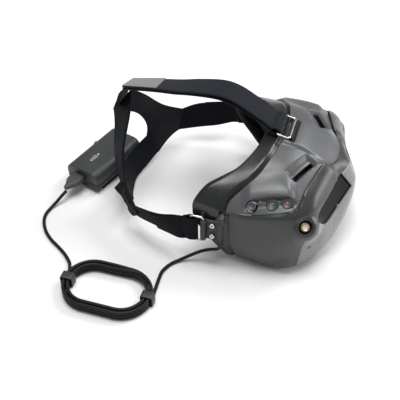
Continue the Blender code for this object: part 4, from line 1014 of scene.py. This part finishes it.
def build_top_hardware():
    bar = Vector(TOP_BAR)
    build_ring("top_strap_ring", bar, (1, 0, 0), TOP_RING_OUT, "top_ring_body")
    # bracket: a saddle under the ring's front bar over a foot that runs forward into the housing
    trough = [(r * math.cos(a), r * math.sin(a))
              for r, turn in ((2.7, 1), (1.5, -1)) for a in
              [math.radians(270 + turn * (k * 10 - 90)) for k in range(19)]]
    saddle = loft([[(x, bar.y + u, bar.z + v) for u, v in trough] for x in (-12.5, 12.5)])
    foot = bevelled(prism(rounded_rectangle(23, 3.6, 1.2), -1.2, 0.0), 0.3, 2)
    slope = Matrix.Translation(bar + Vector((0, -0.5, -2.6))) @ Matrix.Rotation(math.radians(30), 4, "X")
    foot = placed(moved(foot, 0, -1.4, 0), slope)
    look("top_ring_bracket", joined([bevelled(saddle, 0.2, 2, 50), foot]), BLACK)


build_side_hardware()
build_top_hardware()


# ---------------- straps and yoke
def strap_section(width, thickness, steps=10):
    """Flat band with rounded edges and enough points across for the weave to bend."""
    w, t = width / 2, thickness / 2
    lower = [(-w + t + (2 * w - 2 * t) * k / steps, -t) for k in range(steps + 1)]
    return [(-w, 0), *lower, (w, 0), *[(x, t) for x, _ in reversed(lower)]]


def band(rows, width, thickness):
    """A strap through rows of (centre x, y, z, across x, y, z), already dense."""
    centres = [Vector(r[:3]) for r in rows]
    path = []
    for i, row in enumerate(rows):
        along = (centres[min(i + 1, len(rows) - 1)] - centres[max(i - 1, 0)]).normalized()
        across = Vector(row[3:])
        across = (across - along * across.dot(along)).normalized()
        path.append((centres[i], across, along.cross(across)))
    return sweep(path, strap_section(width, thickness))


def neighbours(row, i):
    """The entries before and after entry i, or entry i itself at an end."""
    return row[max(i - 1, 0)], row[min(i + 1, len(row) - 1)]


def stitches(centre, across, normal, along):
    """Twelve short raised stitches in a line across a strap."""
    parts = []
    for k in range(12):
        bar = bevelled(prism(rounded_rectangle(21 / 12 * 0.62, 0.55, 0.25, 2), -0.2, 0.22), 0.08, 1)
        m = Matrix((across, along, normal)).transposed().to_4x4()
        m.translation = centre + across * (-21 / 2 + 21 * (k + 0.5) / 12) + normal * 0.9
        parts.append(placed(bar, m))
    return parts


def build_top_strap():
    rear = Vector(TOP_BAR) + TOP_RING_OUT * RING_SHORT

    def across_at(y):
        return tuple(Vector((1.0, 0.0, -0.34 * float(smoothstep(40, 165, y)))).normalized())

    dense = smooth_points([(0, 12.0, 110.5), *TOP_STRAP], 8)
    upper, lower = [], []
    for i, p in enumerate(dense):
        before, after = neighbours(dense, i)
        across = across_at(p[1])
        up = Vector(across).cross(Vector(after - before).normalized())
        spread = LOWER_LAYER * (1 + 1.1 * math.exp(-((p[1] - 52) / 26) ** 2))
        upper.append(tuple(Vector(p) + up * UPPER_LAYER) + across)
        lower.append(tuple(Vector(p) - up * spread) + across)
    # the turn round the ring's rear bar, blended into both layers
    first, last = Vector(upper[0][:3]) - rear, Vector(lower[0][:3]) - rear
    start, end = (math.atan2(arm.z, arm.y) for arm in (first, last))
    steps, reach = 22, 3.15
    turn = []
    for k in range(1, steps):
        a = start + (2 * math.pi - (start - end)) * k / steps
        blend = min(1.0, min(k, steps - k) / 4)
        r = reach * blend + (first.length if k < steps / 2 else last.length) * (1 - blend)
        turn.append((*(rear + Vector((0, math.cos(a), math.sin(a))) * r), 1.0, 0.0, 0.0))
    look("top_strap", band(upper[::-1] + turn + lower, STRAP_WIDTH, 1.7), WEBBING)
    # hook-tape end on the upper layer
    tip = [(*(Vector(row[:3]) + Vector((0.42, 0.1, 1.2))), *row[3:])
           for row in upper if row[1] > HOOK_START]
    piece("top_strap_hook_end", band(tip, STRAP_WIDTH - 0.6, 0.9), HOOK_TAPE)
    # sewn anchor that carries the strap over onto the yoke
    anchor = smooth_points([(0, 146, 121.4), (0, 152.5, 119.4), (0, 157.5, 114.5), (0, 161, 106),
                            (0, 164.5, 97)], 6)
    rows = [tuple(p) + across_at(150) for p in anchor]
    piece("top_strap_anchor", band(rows, STRAP_WIDTH - 1.5, 1.6), WEBBING)
    thread = []
    for k in (14, 20):
        along = Vector(anchor[k + 1] - anchor[k]).normalized()
        up = along.cross(Vector((1, 0, 0)))
        thread += stitches(Vector(anchor[k]), Vector((1, 0, 0)), up if up.y > 0 else -up, along)
    piece("anchor_stitches", joined(thread), THREAD)


def build_side_straps():
    for side, word in SIDES:
        bar = Vector(mirrored((TAB_X, RING_REAR_Y, RING_Z), side))
        first = (*mirrored((-90.0, 70.5, 42.0), side), 0.0, 0.0, 1.0)
        stations = [station(mirrored(c, side), mirrored(x, side)) for c, x in SIDE_STRAP]
        if word == "right":
            for k, x in RIGHT_TWIST.items():
                stations[k] = station(stations[k][:3], x)
        stations += [station(c, x) for c, x in SEWN_ENDS[word]]
        dense = smooth_points([first, *stations], 10)
        inner, outer = [], []
        for i, row in enumerate(dense):
            before, after = neighbours(dense, i)
            centre, across = Vector(row[:3]), Vector(row[3:])
            normal = (Vector(after[:3]) - Vector(before[:3])).normalized().cross(across).normalized()
            if normal.x * side > 0:
                normal = -normal
            inner.append((*(centre - normal * 0.75), *across))
            outer.append((*(centre + normal * 0.9), *across))
        # the turn round the ring's rear bar
        steps = 18
        turn = []
        for k in range(1, steps):
            a = math.radians(20 + 320 * k / steps)
            r = 2.9 + 1.2 * (1 - math.sin(math.pi * k / steps)) ** 3
            reach = r * (2.3 if math.cos(a) < 0 else 1.0)
            point = bar + Vector((-side * math.sin(a) * r, math.cos(a) * reach, -0.3))
            turn.append((*point, 0.0, 0.0, 1.0))
        look(f"{word}_strap", band(outer[26::-1] + turn + inner, STRAP_WIDTH, 1.3), SIDE_WEBBING)
        hook = smooth_points([station(mirrored(c, side), mirrored(x, side)) for c, x in HOOK_TAIL], 6)
        piece(f"{word}_strap_hook_end", band(hook, STRAP_WIDTH - 9, 1.3), SIDE_WEBBING)


def build_rear_band():
    rows = [((40.0, 144.6, 23.5), (0.18, -0.33, -0.92)), *REAR_BAND,
            ((-40.0, 147.0, 23.5), (-0.17, -0.5, -0.85))]
    dense = smooth_points([station(c, x) for c, x in rows], 8)
    look("rear_band", band(dense, STRAP_WIDTH, 1.8), SIDE_WEBBING)


def build_yoke():
    names = list(YOKE)
    for side, word in ((-1, "right"), (1, "left")):
        verts = []
        points = {**YOKE, **YOKE_RIGHT_END} if word == "right" else YOKE
        for x, y, z in points.values():
            bow = YOKE_SAG * math.sin(math.pi * (z - 10) / 105) if side == -1 else 0.0
            verts.append((side * x, y + bow, z))
        faces = [tuple(names.index(n) for n in face.split()) for face in YOKE_FACES]
        sheet = subdivided(mesh_from(verts, faces), 4, boundary_smooth="PRESERVE_CORNERS")
        bm = bmesh.new()
        bm.from_mesh(sheet)
        beads = bead_along([tuple(v.co.copy() for v in e.verts) for e in bm.edges if len(e.link_faces) == 1])
        bm.free()
        plate = bevelled(thickened(sheet, 1.9), 0.5, 2, 60)
        look(f"yoke_{word}", joined([plate, beads]), YOKE_RUBBER)


def bead_along(edges):
    """Round bead along the closed loop that unordered edges make."""
    def key(point):
        return tuple(round(c, 4) for c in point)

    nearby = {}
    for a, b in edges:
        nearby.setdefault(key(a), []).append(b)
        nearby.setdefault(key(b), []).append(a)
    loop, previous = [edges[0][0]], None
    while True:
        following = next(p for p in nearby[key(loop[-1])] if previous is None or key(p) != key(previous))
        if key(following) == key(loop[0]):
            break
        previous = loop[-1]
        loop.append(following)

    def axes(point, along):
        side = Vector((0, 1, 0)) - along * along.y
        side.normalize()
        return point, side, along.cross(side)
    return sweep(loop_path(loop, axes), circle(1.25, 8), closed=True)


build_top_strap()
build_side_straps()
build_rear_band()
build_yoke()


# ---------------- face foam
def build_foam():
    rim = CAGE[RIM]
    loop = [(-x, y, z) for x, y, z in rim] + list(rim[-2:0:-1])
    loop = [Vector(p) for p in smooth_points([*loop, loop[0]], 5)[:-1]]

    def axes(point, along):
        inward = Vector((FOAM_CENTRE.x - point.x, 0, FOAM_CENTRE.z - point.z))
        inward = (inward - along * inward.dot(along)).normalized()
        back = along.cross(inward)
        back = -back if back.y < 0 else back
        return point + inward * 8.2 - back * 3.5, inward, back

    section = [(3.7 * math.copysign(abs(x) ** 0.7, x), 4.3 * math.copysign(abs(y) ** 0.7, y))
               for x, y in circle(1, 16)]
    item = look("foam_padding", sweep(loop_path(loop, axes), section, closed=True), FOAM)
    remesh = item.modifiers.new("remesh", "REMESH")
    remesh.mode = "VOXEL"
    remesh.voxel_size = FOAM_VOXEL
    settle_cloth(item, FOAM_SWELL)


def settle_cloth(item, cap):
    """Swell a soft piece with cloth pressure, capped, and leave the result in its mesh."""
    mesh = evaluated(item)
    item.modifiers.clear()
    item.data = mesh
    start = coords(mesh)
    cloth = item.modifiers.new("cloth", "CLOTH")
    cloth.settings.use_pressure = True
    cloth.settings.uniform_pressure_force = 4.0
    cloth.settings.effector_weights.gravity = 0.0
    cloth.settings.tension_stiffness = 15
    cloth.settings.bending_stiffness = 0.5
    scene = bpy.context.scene
    for number in range(1, CLOTH_FRAMES + 1):
        scene.frame_set(number)
    move = coords(evaluated(item)) - start
    item.modifiers.clear()
    size = np.linalg.norm(move, axis=1, keepdims=True)
    move *= np.minimum(1.0, cap / np.maximum(size, 1e-9))
    mesh.vertices.foreach_set("co", (start + move).ravel())
    mesh.update()
    scene.frame_set(1)
    refined = subdivided(mesh.copy(), 1)
    refined.materials.clear()
    refined.materials.append(FOAM)
    refined.shade_smooth()
    item.data = refined


build_foam()


# ---------------- battery
def battery_place():
    turn = Matrix.Rotation(math.radians(BATTERY_TURN), 4, "Z")
    return Matrix.Translation((*BATTERY_CENTRE, 0)) @ turn


def along_x(mesh):
    return placed(mesh, Matrix(((0, 0, 1, 0), (1, 0, 0, 0), (0, 1, 0, 0), (0, 0, 0, 1))))


def build_battery():
    half, wide, radius = BATTERY_LENGTH / 2, BATTERY_WIDTH / 2, 8.0
    low, split, top = 3.8, 12.0, 25.5
    place = battery_place()
    arc = [math.radians(a) for a in range(0, 91, 9)]
    right = [(wide - radius + radius * math.cos(a), top - radius + radius * math.sin(a)) for a in arc]
    upper = [(-wide, split + GAP), (wide, split + GAP)] + right + [(-y, z) for y, z in reversed(right)]
    right = [(wide - 3, low), (wide - 1, low + 1), (wide - 0.2, low + 3), (wide - 0.3, split)]
    lower = [(-right[0][0], low), *right, *[(-y, z) for y, z in right[:0:-1]]]
    port = prism(rounded_rectangle(13.0, 6.2, 2), -half - 3, -half + 6)
    port = along_x(moved(port, PLUG_SIDE, split + 3.6, 0))
    well = cylinder_at((10, wide, split + 6.5), (0, 1, 0), 3.6, -6, 4)
    shell = bevelled(along_x(prism(upper, -half, half)), 0.8, 3, 40)
    shell = cut(shell, [port, well])
    look("battery_upper_shell", placed(shell, place), BATTERY)
    base = bevelled(along_x(prism(lower, -half + 0.3, half - 0.3)), 0.8, 3, 40)
    look("battery_lower_shell", placed(base, place), BATTERY_LOW)
    # generic level mark: four short bars and a dot, set into the top
    marks = []
    for k in range(4):
        bar = prism(rounded_rectangle(1.1, 3.6 + 0.5 * k, 0.5), top - 0.12, top + 0.1)
        marks.append(moved(bar, -19.5 + 2.6 * k, 1.0, 0))
    marks.append(moved(prism(circle(1.3, 32), top - 0.12, top + 0.1), -8.2, 1.0, 0))
    piece("battery_mark", placed(joined(marks), place), PRINT, slot="battery_plastic")
    clip = prism([(-18, 0), (16, 0), (16, low - GAP), (12, low - GAP), (12, 1.6), (-18, 1.6)], -26, 26)
    clip = bevelled(along_x(clip), 0.4, 2)
    look("battery_clip", placed(clip, place), BLACK)
    centre = place @ Vector((10, wide, split + 6.5))
    direction = place.to_3x3() @ Vector((0, 1, 0))
    button = lathe([(0, -2.5), (3.3, -2.5), (3.3, 0.2), (3.0, 0.65), (2.5, 0.8), (2.1, 0.65), (0, 0.55)])
    look("battery_button", placed(button, frame_matrix(centre, direction)), BUTTON,
         "battery_button_body")


def build_plugs():
    _, y, z = PLUG_HEAD
    place = frame_matrix(PLUG_HEAD, (1, 0, 0))
    head = lathe([(0, -3.2), (3.6, -3.2), (4.4, -2.7), (4.6, -1.9), (4.6, 3.0), (4.3, 3.2), (2.7, 3.2),
                  (2.7, 14), (0, 14)])
    dish = lathe([(2.0, -3.1), (3.3, -3.1), (3.3, -3.5), (2.9, -3.6), (2.0, -3.4)])
    levels = [(z - 1.0, 5.0, 5.6), (50.0, 5.2, 6.0), (41.0, 5.0, 5.6), (38.0, 4.6, 5.0), (35.0, 4.2, 4.6),
              (PLUG_STEM_LOW + 0.2, 3.9, 4.2), (PLUG_STEM_LOW - 0.4, 3.5, 3.8)]
    stem = loft([[(PLUG_STEM_X + u, y + v, height) for u, v in
                  rounded_rectangle(deep, wide, min(deep, wide) / 2 - 0.15)]
                 for height, deep, wide in levels])
    rings = [moved(sweep_outline(rounded_rectangle(4.3 - 0.12 * k, 4.8 - 0.15 * k, 1.9), 0.42),
                   PLUG_STEM_X, y, 37.4 - 1.9 * k) for k in range(4)]
    plug = joined([placed(head, place), placed(dish, place), bevelled(stem, 0.3, 2, 50), *rings])
    look("dc_plug", plug, TAB)

    body = [(12.2, 5.4, 0), (14.0, 6.6, -1.0), (14.5, 7.0, -2.4), (14.5, 7.0, -11.0), (12.6, 6.8, -13.8),
            (8.8, 6.3, -16.6), (6.6, 5.8, -18.8), (5.2, 5.2, -21.2), (4.4, 4.6, -22.6)]
    plug = loft([[(out, u, v) for u, v in rounded_rectangle(wide, tall, 2.1)] for wide, tall, out in body])
    seam = moved(along_x(sweep_outline(rounded_rectangle(14.55, 7.05, 2.1), 0.16)), -3.2, 0, 0)
    plug = moved(joined([plug, seam]), -BATTERY_LENGTH / 2 - 0.4, PLUG_SIDE, 15.6)
    return look("battery_plug", placed(plug, battery_place()), PLUG)


# ---------------- the lead
def hank_point(angle, inset, height):
    """Point on an oval turn; angle 0 is the goggles end, growing clockwise seen from above."""
    straight = HANK_LENGTH - HANK_WIDTH
    radius = HANK_WIDTH / 2 - inset
    quarter = math.pi * radius / 2
    s = (angle % 360.0) / 360.0 * (4 * quarter + 2 * straight)
    out = min(max(s - quarter, 0), straight)                      # way along each straight side
    home = min(max(s - 3 * quarter - straight, 0), straight)
    bend = (s - out - home) / radius
    x, y = HANK_CENTRE
    return (x - radius * math.sin(bend), y - straight / 2 + out - home - radius * math.cos(bend), height)


def build_lead():
    points = list(NEAR_LEAD[:-1])
    # in level from the goggles, then up onto the first turn
    x, y, z = hank_point(0.0, *TURNS[0])
    points += [(x - 4.6 * k, y + 0.06 * k * k, z + 0.3 * k) for k in (-3, -2, -1)]
    for k in range(int(STEPS_PER_TURN * (len(TURNS) - 0.5)) + 1):
        number = k // STEPS_PER_TURN
        now, then = np.array(TURNS[number]), np.array(TURNS[min(number + 1, len(TURNS) - 1)])
        inset, height = now + (then - now) * smoothstep(0.72, 1.0, k / STEPS_PER_TURN - number)
        points.append(hank_point(360.0 * k / STEPS_PER_TURN, inset, height))
    points += [(-140.5, 166.6, 4.6), (-134.5, 169.2, 3.2)]
    points += reversed(FAR_LEAD)
    curve = bpy.data.curves.new("lead", "CURVE")
    curve.dimensions = "3D"
    curve.bevel_depth = CORD_R * MM
    curve.bevel_resolution = 4
    curve.use_fill_caps = True
    spline = curve.splines.new("POLY")
    dense = [Vector(p) for p in smooth_points(points, 4)]
    spline.points.add(len(dense) - 1)
    for point, p in zip(spline.points, dense):
        point.co = (*world(p), 1.0)
    length = sum((b - a).length * MM for a, b in zip(dense, dense[1:]))
    curve.materials.append(CORD)
    item = bpy.data.objects.new("lead", curve)
    bpy.context.scene.collection.objects.link(item)
    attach(item, "goggles")
    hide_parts("lead_near_goggles", "cord_hank", "lead_near_battery")
    outer = rounded_rectangle(HANK_BUNDLE[0] + 3.4, HANK_BUNDLE[1] + 2.2, 2.4)
    inner = rounded_rectangle(HANK_BUNDLE[0] + 1.8, HANK_BUNDLE[1] + 0.6, 1.8)
    for end, word in ((1, "battery"), (-1, "goggles")):
        shell = cut(bevelled(prism(outer, -4, 4), 0.3, 2), [prism(inner, -6, 6)])
        place = (Matrix.Translation((*HANK_CENTRE, 0)) @ Matrix.Rotation(math.radians(90), 4, "Z")
                 @ Matrix.Translation((end * (HANK_LENGTH / 2 - HANK_BUNDLE[0] / 2), 0,
                                       HANK_BASE + HANK_BUNDLE[1] / 2))
                 @ Matrix(((1, 0, 0, 0), (0, 0, -1, 0), (0, 1, 0, 0), (0, 0, 0, 1))))
        look(f"tie_{word}_end", placed(shell, place), TAB, slot="lead_rubber")
    return length


build_battery()
BATTERY_PLUG = build_plugs()
LEAD_LENGTH = build_lead()
print("lead length", round(LEAD_LENGTH, 3))

# ---------------- carried-over CAD nodes
CARRIED = {
    BLACK: ["lens_barrel_right", "lens_barrel_left", "lens_plate", "ipd_slider_right", "ipd_slider_left",
            "fan_housing", "fan_rotor", "joystick_cross", "joystick_cradle", "dc_jack"],
    GLASS: ["eyepiece_lens_right", "eyepiece_lens_left"],
    SCREEN: ["display_right", "display_left"],
    NICKEL: ["ipd_rail"],
    BOARD: ["main_board"],
    CELL_WRAP: ["battery_cells"],
}
for finish, names in CARRIED.items():
    for name in names:
        node = frame["nodes"][name]
        if not node.material_slots:
            node.data.materials.append(finish)
        for entry in node.material_slots:
            entry.link = "OBJECT"
            entry.material = finish
